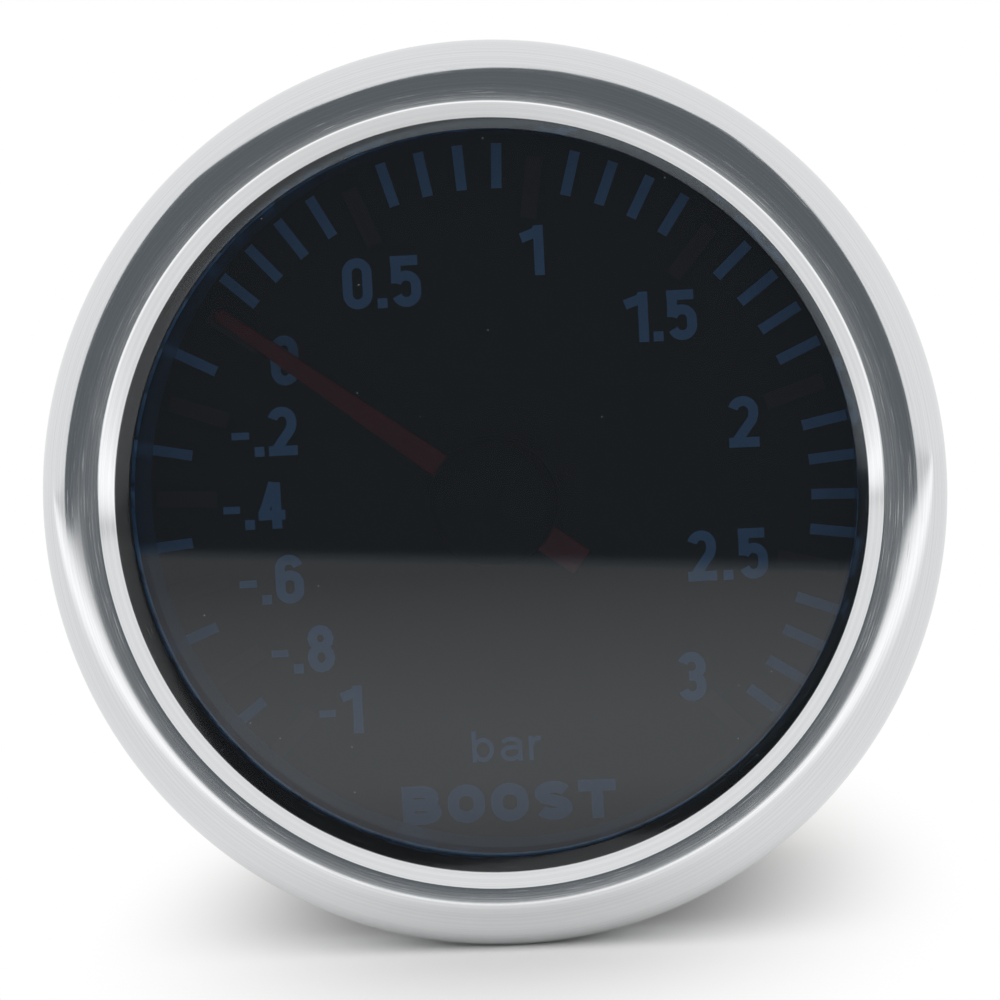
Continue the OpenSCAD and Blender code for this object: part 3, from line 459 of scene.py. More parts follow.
def new_tree(name, sizes):
    """A geometry tree with one named float or integer input for each size."""
    tree = bpy.data.node_groups.new(name, "GeometryNodeTree")
    face = tree.interface
    face.new_socket("Geometry", in_out="INPUT", socket_type="NodeSocketGeometry")
    for label, value in sizes.items():
        kind = "NodeSocketInt" if isinstance(value, int) else "NodeSocketFloat"
        face.new_socket(label, in_out="INPUT", socket_type=kind).default_value = value
    face.new_socket("Material", in_out="INPUT", socket_type="NodeSocketMaterial")
    face.new_socket("Geometry", in_out="OUTPUT", socket_type="NodeSocketGeometry")
    start = tree.nodes.new("NodeGroupInput")
    end = tree.nodes.new("NodeGroupOutput")
    return tree, start.outputs, end


def close_tree(tree, end, geometry, material):
    """Ends the tree in Realize Instances and Set Material."""
    real = add(tree, "GeometryNodeRealizeInstances", {"Geometry": geometry}).outputs[0]
    dressed = add(tree, "GeometryNodeSetMaterial", {
        "Geometry": real, "Material": material}).outputs[0]
    tree.links.new(dressed, end.inputs[0])


def grow(name, tree, values, material, base=None):
    """Runs a tree with these input values on a base mesh, and gives the result as a plain mesh."""
    host = bpy.data.objects.new(name + "_host", base or bpy.data.meshes.new(name + "_base"))
    bpy.context.scene.collection.objects.link(host)
    modifier = host.modifiers.new("nodes", "NODES")
    modifier.node_group = tree
    for item in tree.interface.items_tree:
        if item.in_out == "INPUT" and item.name in values:
            modifier[item.identifier] = values[item.name]
        if item.in_out == "INPUT" and item.name == "Material":
            modifier[item.identifier] = material
    evaluated = host.evaluated_get(bpy.context.evaluated_depsgraph_get())
    mesh = bpy.data.meshes.new_from_object(evaluated)
    bpy.data.objects.remove(host)
    mesh.name = name
    return mesh


def marks_tree():
    """Bars laid along the radius of a dial, one at each whole step, with some steps left out."""
    tree, size, end = new_tree("dial_marks", {
        "Count": 10, "First Angle": 0.0, "Step": 6.0, "Skip Every": 0, "Skip From": 0,
        "Inner Radius": 21.0, "Outer Radius": 24.0, "Width": 0.7, "Thickness": 0.02, "Level": 0.0,
        "Shift X": 0.0, "Shift Y": 0.0})
    line = add(tree, "GeometryNodeMeshLine", {"Count": size["Count"], "Offset": (0, 0, 0)},
               mode="OFFSET").outputs[0]
    number = add(tree, "GeometryNodeInputIndex").outputs[0]
    # A step is left out where (number + Skip From) divides by Skip Every
    moved = math_node(tree, "ADD", number, size["Skip From"])
    rest = math_node(tree, "MODULO", moved, size["Skip Every"])
    zero = math_node(tree, "COMPARE", rest, 0.0, 0.1)
    used = math_node(tree, "GREATER_THAN", size["Skip Every"], 0.5)
    skipped = math_node(tree, "MULTIPLY", zero, used)
    kept = math_node(tree, "LESS_THAN", skipped, 0.5)
    angle = math_node(tree, "MULTIPLY_ADD", number, size["Step"], size["First Angle"])
    turn = math_node(tree, "RADIANS", angle)
    length = math_node(tree, "SUBTRACT", size["Outer Radius"], size["Inner Radius"])
    both = math_node(tree, "ADD", size["Outer Radius"], size["Inner Radius"])
    middle = math_node(tree, "MULTIPLY", both, 0.5)
    bar_size = combine(tree, length, size["Width"], size["Thickness"])
    bar = add(tree, "GeometryNodeMeshCube", {"Size": bar_size}).outputs[0]
    out_there = combine(tree, middle)
    bar = add(tree, "GeometryNodeTransform", {"Geometry": bar, "Translation": out_there}).outputs[0]
    spun = combine(tree, z=turn)
    spun = add(tree, "FunctionNodeEulerToRotation", {0: spun}).outputs[0]
    bars = add(tree, "GeometryNodeInstanceOnPoints", {
        "Points": line, "Selection": kept, "Instance": bar, "Rotation": spun}).outputs[0]
    shift = combine(tree, size["Shift X"], size["Shift Y"], size["Level"])
    placed = add(tree, "GeometryNodeTransform", {"Geometry": bars, "Translation": shift}).outputs[0]
    close_tree(tree, end, placed, size["Material"])
    return tree


def thread_tree():
    """A screw thread cut into a rod along Z: the rod's side follows a helix of one start."""
    tree, size, end = new_tree("screw_thread", {
        "Radius": 2.0, "Depth": 0.35, "Pitch": 0.7, "Length": 20.0, "Taper Length": 0.6,
        "Around": 40, "Per Pitch": 6.0})
    turns = math_node(tree, "DIVIDE", size["Length"], size["Pitch"])
    rows = math_node(tree, "MULTIPLY", turns, size["Per Pitch"])
    rod = add(tree, "GeometryNodeMeshCylinder", {
        "Vertices": size["Around"], "Side Segments": rows, "Fill Segments": 1,
        "Radius": size["Radius"], "Depth": size["Length"]}, fill_type="NGON").outputs["Mesh"]
    place = add(tree, "GeometryNodeInputPosition").outputs[0]
    part = separate(tree, place)
    angle = math_node(tree, "ARCTAN2", part["Y"], part["X"])
    round_turn = math_node(tree, "DIVIDE", angle, 2 * math.pi)
    along = math_node(tree, "DIVIDE", part["Z"], size["Pitch"])
    phase = math_node(tree, "SUBTRACT", along, round_turn)
    # A wave that is 0 on the crest and 1 in the root, with flat crests
    wave = math_node(tree, "MULTIPLY", math_node(tree, "PINGPONG", phase, 0.5), 2.0)
    wave = math_node(tree, "MINIMUM", math_node(tree, "MULTIPLY", wave, 1.25), 1.0)
    # The thread runs out at both ends
    half = math_node(tree, "MULTIPLY", size["Length"], 0.5)
    left = math_node(tree, "SUBTRACT", half, math_node(tree, "ABSOLUTE", part["Z"]))
    lead = math_node(tree, "SUBTRACT", 1.0, math_node(tree, "DIVIDE", left, size["Taper Length"]))
    lead = math_node(tree, "MAXIMUM", lead, 0.0)
    cut = math_node(tree, "MULTIPLY", math_node(tree, "MAXIMUM", wave, lead), size["Depth"])
    share = math_node(tree, "SUBTRACT", 1.0, math_node(tree, "DIVIDE", cut, size["Radius"]))
    flat = combine(tree, share, share, 1.0)
    moved = add(tree, "ShaderNodeVectorMath", {0: place, 1: flat}, operation="MULTIPLY").outputs[0]
    shaped = add(tree, "GeometryNodeSetPosition", {"Geometry": rod, "Position": moved}).outputs[0]
    close_tree(tree, end, shaped, size["Material"])
    return tree


def knurl_tree():
    """Diamond knurling on a lathed nut: its rim sinks along two crossing sets of grooves."""
    tree, size, end = new_tree("diamond_knurl", {
        "Rim Radius": 5.0, "Grooves": 30, "Depth": 0.3, "Slant": 0.9, "Centre X": 0.0})
    place = add(tree, "GeometryNodeInputPosition").outputs[0]
    part = separate(tree, place)
    x = math_node(tree, "SUBTRACT", part["X"], size["Centre X"])
    radius = length_of(tree, x, part["Y"])
    angle = math_node(tree, "DIVIDE", math_node(tree, "ARCTAN2", part["Y"], x), 2 * math.pi)
    across = math_node(tree, "MULTIPLY", angle, size["Grooves"])
    slope = math_node(tree, "MULTIPLY", part["Z"], size["Slant"])
    one = math_node(tree, "PINGPONG", math_node(tree, "ADD", across, slope), 0.5)
    two = math_node(tree, "PINGPONG", math_node(tree, "SUBTRACT", across, slope), 0.5)
    height = math_node(tree, "MULTIPLY", math_node(tree, "MINIMUM", one, two), 2.0)
    sink = math_node(tree, "MULTIPLY", math_node(tree, "SUBTRACT", 1.0, height), size["Depth"])
    # Only the rim between its two bevels is knurled
    bevels = math_node(tree, "SUBTRACT", size["Rim Radius"], 0.05)
    on_rim = math_node(tree, "GREATER_THAN", radius, bevels)
    sink = math_node(tree, "MULTIPLY", sink, on_rim)
    share = math_node(tree, "DIVIDE", math_node(tree, "SUBTRACT", radius, sink), radius)
    new_x = math_node(tree, "MULTIPLY_ADD", x, share, size["Centre X"])
    new_y = math_node(tree, "MULTIPLY", part["Y"], share)
    moved = combine(tree, new_x, new_y, part["Z"])
    shaped = add(tree, "GeometryNodeSetPosition", {"Geometry": size["Geometry"],
                                                   "Position": moved}).outputs[0]
    close_tree(tree, end, shaped, size["Material"])
    return tree


def stand(mesh, degrees=35):
    """Turns a mesh from a tree to the CAD frame, with smooth faces and sharp edges."""
    bm = bmesh.new()
    bm.from_mesh(mesh)
    bmesh.ops.remove_doubles(bm, verts=bm.verts, dist=1e-5)
    smooth_by_angle(bm, degrees)
    bmesh.ops.transform(bm, matrix=STAND_UP, verts=bm.verts)
    bm.to_mesh(mesh)
    bm.free()
    return mesh


# ---------------------------------------------------------------- bezel, lens and spacer

def rounded(corner, before, after, r, steps):
    """Points that round off a profile's corner between two neighbours, on an arc of radius r."""
    c, b, a = Vector(corner), Vector(before), Vector(after)
    u, v = (b - c).normalized(), (a - c).normalized()
    half = u.angle(v) / 2
    reach = r / math.tan(half)
    centre = c + (u + v).normalized() * r / math.sin(half)
    start, end = c + u * reach - centre, c + v * reach - centre
    turn = start.angle_signed(end)
    return [tuple(centre + Matrix.Rotation(-turn * i / steps, 2) @ start) for i in range(steps + 1)]


def build_front():
    """The bezel, the blue ring behind the lens, and the lens."""
    # Outer rounding, a crest that leans in a little, a slope, and a steep edge down to the lens
    lean = math.radians(CREST_LEAN)
    fall = math.tan(math.radians(SLOPE_ANGLE))
    crest = (CREST_R - BEZEL_OUTER_R * math.sin(lean),
             BEZEL_H - BEZEL_OUTER_R * (1 - math.cos(lean)))
    crease = (CREST_IN_R, crest[1] - (crest[0] - CREST_IN_R) * math.tan(lean))
    slope_end = (SLOPE_IN_R, crease[1] - (CREST_IN_R - SLOPE_IN_R) * fall)
    edge = (OPENING_R, LENS_LIP)
    seat = (OPENING_R, LENS_SEAT)
    back_r, entry = 0.2, 0.15
    profile = [(BEZEL_R - back_r, 0.0)] + arc(BEZEL_R - back_r, back_r, back_r, -90, 0, 4)[1:]
    profile += arc(CREST_R, BEZEL_H - BEZEL_OUTER_R, BEZEL_OUTER_R, 0, 90 + CREST_LEAN, 44)
    profile += rounded(crease, crest, slope_end, 0.35, 8)
    profile += rounded(slope_end, crease, edge, 0.3, 8)
    profile += rounded(edge, slope_end, seat, 0.08, 3)
    profile += [seat, (LENS_POCKET_R, LENS_SEAT), (LENS_POCKET_R, FLANGE_FRONT),
                (FLANGE_POCKET_R, FLANGE_FRONT), (FLANGE_POCKET_R, FLANGE_BACK),
                (BARREL_HOLE_R, FLANGE_BACK), (BARREL_HOLE_R, entry), (BARREL_HOLE_R + entry, 0.0)]
    make("polished_bezel", to_mesh(lathe(profile, 288), "polished_bezel"), ALUMINIUM, "case",
         ("bezel_ring",))
    wall = [(SPACER_OUT, DIAL_FRONT), (SPACER_OUT, LENS_BACK), (SPACER_IN, LENS_BACK),
            (SPACER_IN, DIAL_FRONT)]
    make("blue_spacer", to_mesh(lathe(wall, 240), "blue_spacer"), BLUE_STYRENE, "case",
         ("spacer_ring",))
    ground = 0.2
    pane = [(0, LENS_FRONT), (LENS_R - ground, LENS_FRONT), (LENS_R, LENS_FRONT - ground),
            (LENS_R, LENS_BACK + ground), (LENS_R - ground, LENS_BACK), (0, LENS_BACK)]
    make("smoked_pane", to_mesh(lathe(pane, 192), "smoked_pane", 10), SMOKED, "case",
         ("lens",))


# ---------------------------------------------------------------- dial print

# The print's middle on the dial, a little off the pointer's axis as in the photo
PRINT_SHIFT = (-0.18, -0.93)
# Angle of the zero mark, counterclockwise from +X, and the degrees for each bar from there
ZERO, BOOST_STEP, VACUUM_STEP = 144.5, -63.42, 81.25

# Widths of the ink's strokes
BOLD, BLACK, BOOK, MINUS = 0.68, 0.82, 0.31, 0.5
# Each label: text, middle of its box and the box's size on the dial, ink width, gap between letters
LABELS = (
    ("0.5", -7.43, 14.46, 5.41, 3.52, BOLD, 0.28), ("1", 3.04, 16.11, 1.54, 3.42, BOLD, 0.28),
    ("1.5", 11.58, 11.20, 4.87, 3.43, BOLD, 0.28), ("2", 16.85, 3.73, 2.07, 3.50, BOLD, 0.28),
    ("2.5", 15.34, -5.31, 5.49, 3.48, BOLD, 0.40), ("3", 12.51, -13.59, 1.95, 3.40, BOLD, 0.28),
    ("0", -14.42, 9.45, 1.95, 3.45, BOLD, 0.28),
    (".2", -15.35, 4.60, 3.02, 3.38, BOLD, 0.30), ("-", -17.78, 4.38, 1.24, 0.51, MINUS, 0.30),
    (".4", -16.37, -0.51, 2.84, 3.20, BOLD, 0.30), ("-", -18.67, -0.71, 1.16, 0.51, MINUS, 0.30),
    (".6", -15.41, -5.65, 2.98, 3.40, BOLD, 0.30), ("-", -17.81, -5.88, 1.22, 0.51, MINUS, 0.30),
    (".8", -13.49, -10.57, 2.93, 3.33, BOLD, 0.30), ("-", -15.86, -10.79, 1.20, 0.51, MINUS, 0.30),
    ("1", -11.03, -14.89, 1.44, 3.33, BOLD, 0.45), ("-", -12.78, -15.11, 1.15, 0.51, MINUS, 0.30),
    ("bar", -0.41, -17.83, 4.94, 2.17, BOOK, 0.45),
    ("BOOST", -0.51, -21.76, 14.84, 2.70, BLACK, 0.42),
)
# Widths of the letters as shares of a digit's width
LETTER_WIDTHS = {"1": 0.78, ".": 0.36, "r": 0.66, "B": 1.05}


def bend(x, y, rx, ry, start, end, steps=12):
    """Points on an ellipse, angles in degrees."""
    angles = [math.radians(start + (end - start) * i / steps) for i in range(steps + 1)]
    return [(x + rx * math.cos(a), y + ry * math.sin(a)) for a in angles]


def letter(sign, u, v):
    """Centre lines of a plain letter in a unit box. u and v are half the ink's width there."""
    ring = bend(0.5, 0.76, 0.5, 0.24, 0, 180) + bend(0.5, 0.24, 0.5, 0.24, 180, 360) + [(1, 0.76)]
    wide_ring = bend(0.5, 0.6, 0.5, 0.4, 0, 180) + bend(0.5, 0.4, 0.5, 0.4, 180, 360) + [(1, 0.6)]
    hook = bend(0.5, 0.24, 0.5, 0.24, 0, -160)
    return {
        "0": [ring], "O": [wide_ring],
        "1": [[(1, -v), (1, 1 + v)], [(-u, 0.82), (1, 0.97)]],
        "2": [bend(0.5, 0.76, 0.5, 0.24, 165, 0) + [(1, 0.68), (0.93, 0.54), (0.5, 0.27), (0.1, 0)],
              [(-u, 0), (1 + u, 0)]],
        "3": [bend(0.5, 0.77, 0.5, 0.23, 160, 0) + bend(0.5, 0.74, 0.5, 0.22, 0, -80)
              + [(0.35, 0.52)],
              [(0.35, 0.52)] + bend(0.5, 0.3, 0.5, 0.22, 80, 0) + hook],
        "4": [[(0.68, 1 + v), (0, 0.26)], [(-u, 0.24), (1 + u, 0.24)], [(0.78, -v), (0.78, 1 + v)]],
        "5": [[(-u, 1), (1 + u / 2, 1)], [(0.04, 1), (0, 0.46)],
              bend(0.5, 0.4, 0.5, 0.24, 165, 0) + hook],
        "6": [bend(0.5, 0.4, 0.5, 0.2, 0, 180) + bend(0.5, 0.22, 0.5, 0.22, 180, 360) + [(1, 0.4)],
              [(0, 0.25), (0, 0.75)] + bend(0.5, 0.77, 0.5, 0.23, 180, 15)],
        "8": [bend(0.5, 0.77, 0.46, 0.23, 0, 360), bend(0.5, 0.27, 0.5, 0.27, 0, 360)],
        ".": [[(0.5, -v), (0.5, v)]],
        "-": [[(-u, 0.38), (1 + u, 0.38)]],
        "b": [[(0, -v), (0, 1 + v)], bend(0.5, 0.37, 0.5, 0.37, 0, 360, 24)],
        "a": [bend(0.5, 0.54, 0.5, 0.2, 160, 0) + [(1, -v)],
              [(1, 0.43), (0.4, 0.43)] + bend(0.4, 0.215, 0.4, 0.215, 90, 270)
              + [(0.6, 0), (1, 0.14)]],
        "r": [[(0, -v), (0, 0.74 + v)], [(0, 0.3)] + bend(0.8, 0.4, 0.8, 0.34, 180, 75)],
        "B": [[(0, -v), (0, 1 + v)],
              [(0, 1), (0.5, 1)] + bend(0.5, 0.76, 0.42, 0.24, 90, -90) + [(0, 0.52)],
              [(0, 0.5), (0.55, 0.5)] + bend(0.55, 0.25, 0.45, 0.25, 90, -90) + [(0, 0)]],
        "S": [bend(0.5, 0.77, 0.5, 0.23, 20, 200) + [(0.12, 0.6), (0.5, 0.5), (0.88, 0.4)]
              + bend(0.5, 0.23, 0.5, 0.23, 20, -160)],
        "T": [[(-u, 1), (1 + u, 1)], [(0.5, 1), (0.5, -v)]],
    }[sign]


def lettering(text, x, y, width, height, ink, gap):
    """The centre lines of a line of text that fills a box round x and y, as a mesh of edges."""
    shares = [LETTER_WIDTHS.get(sign, 1.0) for sign in text]
    unit = (width - gap * (len(text) - 1)) / sum(shares)
    verts, edges = [], []
    left = x - width / 2
    # Each point lies a little above the last, so that no two faces share a plane
    level, lift = 0.0, 0.0004
    for sign, share in zip(text, shares):
        wide = unit * share
        run, rise = max(wide - ink, 0.01), height - ink
        for line in letter(sign, ink / 2 / run, ink / 2 / rise):
            first = len(verts)
            closed = math.dist(line[0], line[-1]) < 1e-6
            points = line[:-1] if closed else line
            verts += [(left + ink / 2 + run * a, y - height / 2 + ink / 2 + rise * b,
                       level + lift * i) for i, (a, b) in enumerate(points)]
            edges += [(first + i, first + i + 1) for i in range(len(points) - 1)]
            if closed:
                edges.append((first + len(points) - 1, first))
            level += lift * len(points)
        left += wide + gap
    mesh = bpy.data.meshes.new("lettering")
    mesh.from_pydata(verts, edges, [])
    return mesh


def ink_tree():
    """Flat ribbons of ink along the edges of a drawing."""
    tree, size, end = new_tree("ink_strokes", {"Width": 0.6, "Thickness": 0.02, "Level": 0.0})
    path = add(tree, "GeometryNodeMeshToCurve", {"Mesh": size["Geometry"]}).outputs[0]
    path = add(tree, "GeometryNodeSetCurveNormal", {"Curve": path}, mode="Z_UP").outputs[0]
    section = add(tree, "GeometryNodeCurvePrimitiveQuadrilateral", {
        "Width": size["Width"], "Height": size["Thickness"]}).outputs[0]
    ribbon = add(tree, "GeometryNodeCurveToMesh", {"Curve": path, "Profile Curve": section,
                                                   "Fill Caps": True}).outputs[0]
    lift = combine(tree, z=size["Level"])
    placed = add(tree, "GeometryNodeTransform", {
        "Geometry": ribbon, "Translation": lift}).outputs[0]
    close_tree(tree, end, placed, size["Material"])
    return tree


def build_print():
    """The printed marks and lettering, as thin bars and ribbons that stand just off the dial."""
    tree = marks_tree()
    thickness = 0.02
    level = DIAL_FRONT + 0.6 * thickness
    common = {"Level": level, "Shift X": PRINT_SHIFT[0], "Shift Y": PRINT_SHIFT[1],
              "Thickness": thickness}
    narrow = dict(common, **{"Width": 0.72, "Inner Radius": 21.42, "Outer Radius": 24.5})
    wide = dict(common, **{"Width": 1.1, "Inner Radius": 19.5, "Outer Radius": 23.7})
    tenth, fifth = 0.1 * BOOST_STEP, 0.2 * VACUUM_STEP
    boost = dict(narrow, **{"Count": 29, "First Angle": ZERO + tenth, "Step": tenth,
                            "Skip Every": 5, "Skip From": 1})
    vacuum = dict(narrow, **{"Count": 5, "First Angle": ZERO + fifth / 2, "Step": fifth})
    red_boost = dict(wide, **{"Count": 7, "First Angle": ZERO, "Step": 5 * tenth})
    red_vacuum = dict(wide, **{"Count": 5, "First Angle": ZERO + fifth, "Step": fifth})
    for name, values, ink in (("boost_marks", boost, BLUE_INK), ("vacuum_marks", vacuum, BLUE_INK),
                              ("red_boost_marks", red_boost, RED_INK),
                              ("red_vacuum_marks", red_vacuum, RED_INK)):
        make(name, stand(grow(name, tree, values, ink)), None, "case")
    strokes = ink_tree()
    for k, (text, x, y, width, height, ink, gap) in enumerate(LABELS):
        name = "label_%02d" % k
        lines = lettering(text, x, y, width, height, ink, gap)
        sizes = {"Width": ink, "Thickness": thickness, "Level": level}
        mesh = grow(name, strokes, sizes, BLUE_INK, lines)
        make(name, stand(mesh), None, "case")


# ---------------------------------------------------------------- pointer

def build_pointer():
    """The cap over the pointer's hub, and the needle."""
    socket_r, socket_depth, dimple_r, dimple_depth = 1.6, 0.9, 1.2, 0.04
    socket_top = NEEDLE_BACK + socket_depth
    cap = [(0, socket_top), (socket_r, socket_top), (socket_r, NEEDLE_BACK), (CAP_R, NEEDLE_BACK)]
    cap += arc(CAP_R - CAP_ROUND, CAP_TOP - CAP_ROUND, CAP_ROUND, 0, 90, 12)
    cap += [(dimple_r, CAP_TOP), (0, CAP_TOP - dimple_depth)]
    make("black_cap", to_mesh(lathe(cap, 128, AXIS), "black_cap"), BLACK_ABS, "pointer",
         ("pointer_cap",))
    bevelled_copy("red_needle", "pointer_needle", 0.12, RED_ACRYLIC)


# ---------------------------------------------------------------- studs, nuts and clamp

def build_back():
    """What shows behind the panel: studs, nuts, clamp, inlet and lamp."""
    tree = thread_tree()
    bm = bmesh.new()
    head_r, head_back, head_front, head_edge = 3.5, CASE_BACK + CASE_WALL, -29.7, 0.2
    outline = [(0, head_back), (head_r - head_edge, head_back), (head_r, head_back + head_edge),
               (head_r, head_front - head_edge), (head_r - head_edge, head_front), (0, head_front)]
    m4_thread = {"Radius": STUD_R, "Depth": 0.33, "Pitch": 0.7, "Length": head_back - STUD_END,
                 "Taper Length": 0.5, "Around": 40, "Per Pitch": 6.0}
    for side in (-1, 1):
        rod = grow("stud_rod", tree, m4_thread, ZINC_PLATE)
        rod.transform(Matrix.Translation((side * STUD_X, 0, (head_back + STUD_END) / 2)))
        bm.from_mesh(rod)
        head = lathe(outline, 48, (side * STUD_X, 0))
        part = bpy.data.meshes.new("stud_head")
        head.to_mesh(part)
        head.free()
        bm.from_mesh(part)
    make("threaded_studs", to_mesh(bm, "threaded_studs"), ZINC_PLATE, "case",
         ("mounting_studs",))

    knurl = knurl_tree()
    bore_r, bore_edge, collar_edge, rim_edge, fillet = 2.06, 0.3, 0.25, 0.35, 0.15
    rim_rows, rim_length = 20, NUT_FRONT - NUT_BACK - 2 * rim_edge
    for side, body, node, name, brass in (
            (-1, "left_nut", "thumb_nut_left", "knurled_nut_left", NUT_BRASS[0]),
            (1, "right_nut", "thumb_nut_right", "knurled_nut_right", NUT_BRASS[1])):
        rim = [(NUT_R, NUT_FRONT - rim_edge - rim_length * i / rim_rows)
               for i in range(rim_rows + 1)]
        profile = [(bore_r, COLLAR_FRONT - bore_edge), (bore_r + bore_edge, COLLAR_FRONT),
                   (COLLAR_R - collar_edge, COLLAR_FRONT), (COLLAR_R, COLLAR_FRONT - collar_edge),
                   (COLLAR_R, NUT_FRONT + fillet), (COLLAR_R + fillet, NUT_FRONT),
                   (NUT_R - rim_edge, NUT_FRONT)] + rim
        profile += [(NUT_R - rim_edge, NUT_BACK), (bore_r + bore_edge, NUT_BACK),
                    (bore_r, NUT_BACK + bore_edge)]
        blank = bpy.data.meshes.new(name + "_blank")
        turned = lathe(profile, 240, (side * STUD_X, 0))
        bmesh.ops.recalc_face_normals(turned, faces=turned.faces)
        turned.to_mesh(blank)
        turned.free()
        mesh = grow(name, knurl, {"Rim Radius": NUT_R, "Grooves": 30, "Depth": 0.3, "Slant": 0.9,
                                  "Centre X": side * STUD_X}, brass, blank)
        make(name, stand(mesh), brass, body, (node,))

    # The stretch of stem that shows between the lock nut and the hose spigot has its thread
    stem_middle = -37.2
    stem_thread = {"Radius": 5.3, "Depth": 0.2, "Pitch": 0.94, "Length": 1.56,
                   "Taper Length": 0.1, "Around": 96, "Per Pitch": 8.0}
    stem = grow("stem_thread", tree, stem_thread, INLET_BRASS)
    stem.transform(Matrix.Translation((*INLET, stem_middle)))
    make("stem_thread", stand(stem), INLET_BRASS, "case")

    bevelled_copy("bent_clamp", "clamp_bracket", 0.25, BLACK_ZINC)
    bevelled_copy("stud_hex_nuts", "stud_nuts", 0.12, ZINC_PLATE)
    bevelled_copy("split_washers", "lock_washers", 0.1, ZINC_PLATE)
    bevelled_copy("hex_lock_nut", "inlet_lock_nut", 0.15, INLET_BRASS)
    bevelled_copy("hex_spigot", "inlet_spigot", 0.15, INLET_BRASS)
    bevelled_copy("moulded_lamp_holder", "lamp_holder", 0.25, PHENOLIC)
    bevelled_copy("lamp_blades", "lamp_terminals", 0.08, ZINC_PLATE)


def dress_nodes():
    """Materials for the CAD nodes that are shown as they are."""
    finish = {
        "lens_seal": NITRILE, "dial_face": DIAL, "light_plate": CLEAR_ACRYLIC,
        "reflector_sleeve": WHITE_STYRENE, "case_shell": ENAMEL, "pointer_bush": TURNED_BRASS,
        "pinion_arbor": GROUND_STEEL, "hairspring_collet": TURNED_BRASS, "hairspring": BRONZE,
        "hairspring_peg": TURNED_BRASS,
        "sector_gear": ROLLED_BRASS, "sector_arbor": GROUND_STEEL, "sector_link_pin": GROUND_STEEL,
        "link_bar": ROLLED_BRASS, "tip_link_pin": GROUND_STEEL, "tube_tip": ROLLED_BRASS,
        "bourdon_tube": BRONZE, "socket_block": INLET_BRASS, "movement_back_plate": ROLLED_BRASS,
        "movement_front_plate": ROLLED_BRASS, "plate_pillars": TURNED_BRASS,
        "pillar_screws": GROUND_STEEL, "movement_screws": GROUND_STEEL, "inlet_washer": FIBRE,
        "lamp_bulb": BULB_GLASS,
    }
    for node, material in finish.items():
        if not NODES[node].material_slots:
            NODES[node].data.materials.append(material)
        for s in NODES[node].material_slots:
            s.material = material


# ---------------------------------------------------------------- room

WHITE = colour("#FFFFFF")


def room_piece(name, bm, material):
    """An object of the room from a bmesh in metres."""
    mesh = bpy.data.meshes.new(name)
    bm.to_mesh(mesh)
    bm.free()
    mesh.materials.append(material)
    piece = bpy.data.objects.new(name, mesh)
    bpy.context.scene.collection.objects.link(piece)
    return piece


def build_floor():
    """White paper, which goes over to a painted white glow, the white of the room, away from the
    gauge; the glow cuts the gauge's shadow short.
    """
    material, tree, out, point = finish_named("white_paper_painted_glow")
    fibre = noise(tree, point, 0.5)
    paper = add(tree, "ShaderNodeBsdfPrincipled", {
        "Base Color": colour("#F4F4F3"), "Roughness": 0.9, "Specular IOR Level": 0.1,
        "Normal": bump(tree, fibre, 0.01)}).outputs[0]
    # The distance is stretched along the gauge, so that the whole can keeps its shadow before the
    # painted glow lightens it
    part = separate(tree, point)
    along = math_node(tree, "MULTIPLY_ADD", part["Y"], 0.4, -9.0)
    reach = length_of(tree, part["X"], along)
    # Painted light: away from the gauge the camera, the lens and the metal see a white glow in
    # place of the lit paper, which paints the shadow's fading edge
    painted_light_share = map_range(tree, reach, 10.0, 32.0, kind="SMOOTHSTEP")
    path = add(tree, "ShaderNodeLightPath").outputs
    seen = math_node(tree, "MAXIMUM", path["Is Glossy Ray"], path["Is Transmission Ray"])
    seen = math_node(tree, "MAXIMUM", path["Is Camera Ray"], seen)
    # Painted reflection: the glow that the lens and the metal mirror is painted brighter from the
    # board towards the gauge. Close to the gauge it is painted a shade darker again, so that the
    # bezel's sides stand out from the white behind them.
    board_end, middle, gauge_end = 0.66, 1.25, 0.88
    rise = map_range(tree, part["Y"], -300.0, -120.0, board_end, middle)
    fall = map_range(tree, part["Y"], -80.0, -40.0, middle, gauge_end)
    painted_reflection_ramp = math_node(tree, "MINIMUM", rise, fall)
    painted_glow = math_node(tree, "MAXIMUM", path["Is Camera Ray"], painted_reflection_ramp)
    white = add(tree, "ShaderNodeEmission", {"Color": WHITE, "Strength": painted_glow}).outputs[0]
    share = math_node(tree, "MULTIPLY", painted_light_share, seen)
    paper_and_painted_glow = add(tree, "ShaderNodeMixShader", {0: share, 1: paper, 2: white}).outputs[0]
    tree.links.new(paper_and_painted_glow, out.inputs["Surface"])
    bm = bmesh.new()
    bmesh.ops.create_grid(bm, x_segments=1, y_segments=1, size=3.0)
    bmesh.ops.translate(bm, verts=bm.verts, vec=(0, 0, -BEZEL_R * MM))
    floor = room_piece("floor", bm, material)


def build_board():
    """The dark board behind the camera, which only the metal and the lens mirror."""
    material, tree, out, point = finish_named("dark_board")
    # Painted light: its light is painted brighter near the floor, so that the line which the lens
    # shows is soft
    height = separate(tree, point)["Z"]
    painted_glow = map_range(tree, height, -30.0, -28.1, 3.6, 1.0, kind="SMOOTHSTEP")
    dark = add(tree, "ShaderNodeEmission", {
        "Color": colour("#63686C"), "Strength": painted_glow}).outputs[0]
    tree.links.new(dark, out.inputs["Surface"])
    bm = bmesh.new()
    # Its foot runs nearer on the right, so that the lens shows its edge a little lower there
    foot, top = [(-0.31, -0.232), (-0.14, -0.404), (0.042, -0.266), (0.205, -0.232)], 0.3
    low = [bm.verts.new((x, y, -BEZEL_R * MM)) for x, y in foot]
    high = [bm.verts.new((x, y, top)) for x, y in foot]
    for i in range(len(foot) - 1):
        bm.faces.new((low[i], low[i + 1], high[i + 1], high[i]))
    board = room_piece("dark_board", bm, material)
    board.visible_camera = False
    board.visible_diffuse = False
    board.visible_shadow = False
    board.visible_transmission = False


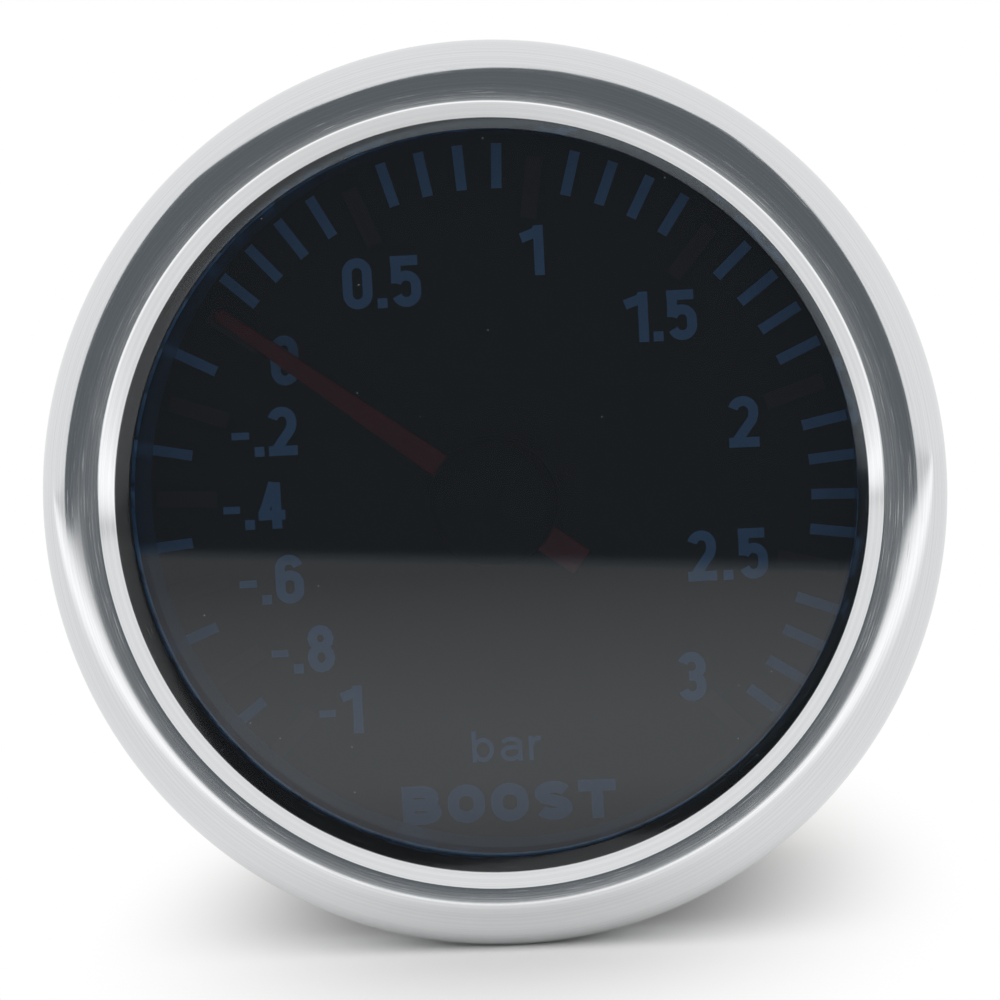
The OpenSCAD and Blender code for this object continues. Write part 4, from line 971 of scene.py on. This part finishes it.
def build_world():
    """A white room. The metal mirrors it a shade darker than the white behind the gauge."""
    world = bpy.data.worlds.new("white_room")
    bpy.context.scene.world = world
    world.use_nodes = True
    tree = world.node_tree
    tree.nodes.clear()
    out = add(tree, "ShaderNodeOutputWorld")
    path = add(tree, "ShaderNodeLightPath").outputs
    seen = math_node(tree, "MAXIMUM", path["Is Camera Ray"], path["Is Transmission Ray"])
    mirrored = math_node(tree, "MAXIMUM", seen, path["Is Glossy Ray"])
    level = math_node(tree, "MAXIMUM", seen, 0.9)
    soft, white = (add(tree, "ShaderNodeBackground", {
        "Color": WHITE, "Strength": strength}).outputs[0] for strength in (0.78, level))
    sky = add(tree, "ShaderNodeMixShader", {0: mirrored, 1: soft, 2: white}).outputs[0]
    tree.links.new(sky, out.inputs["Surface"])


def build_lights():
    """Soft lamps above and to both sides, which the metal doesn't mirror."""
    for name, place, size, power in (("top_softbox", (0.0, 0.0, 0.6), 0.9, 1.2),
                                     ("left_softbox", (-0.45, -0.4, 0.3), 0.4, 0.35),
                                     ("right_softbox", (0.45, -0.4, 0.3), 0.4, 0.35)):
        lamp = bpy.data.lights.new(name, "AREA")
        lamp.size = size
        lamp.energy = power
        light = bpy.data.objects.new(name, lamp)
        light.location = place
        light.rotation_euler = (-Vector(place)).to_track_quat("-Z", "Y").to_euler()
        light.visible_glossy = False
        bpy.context.scene.collection.objects.link(light)


def build_camera():
    """The photo's camera, with the focal length in pixels as it was worked out from the photo."""
    camera = bpy.data.cameras.new("photo_camera")
    viewer = bpy.data.objects.new("photo_camera", camera)
    bpy.context.scene.collection.objects.link(viewer)
    azimuth, elevation, distance, roll = 4.5, 3.5, 0.225, -2.95
    focal_px, width_px = 3405, 1000
    a, e = math.radians(azimuth), math.radians(elevation)
    aim = Vector((0, -0.0055, 0))
    away = Vector((math.sin(a) * math.cos(e), -math.cos(a) * math.cos(e), math.sin(e)))
    viewer.location = aim + away * distance
    facing = (-away).to_track_quat("-Z", "Y").to_matrix()
    viewer.matrix_world = Matrix.Translation(viewer.location) @ (
        facing @ Matrix.Rotation(math.radians(roll), 3, "Z")).to_4x4()
    camera.sensor_width = 36.0
    camera.lens = camera.sensor_width * focal_px / width_px
    camera.shift_x = 0.0095
    camera.shift_y = -0.004
    camera.clip_start = 0.005
    bpy.context.scene.camera = viewer


build_front()
build_print()
build_pointer()
build_back()
dress_nodes()
build_floor()
build_board()
build_world()
build_lights()
build_camera()

bpy.context.scene.view_settings.view_transform = "Standard"
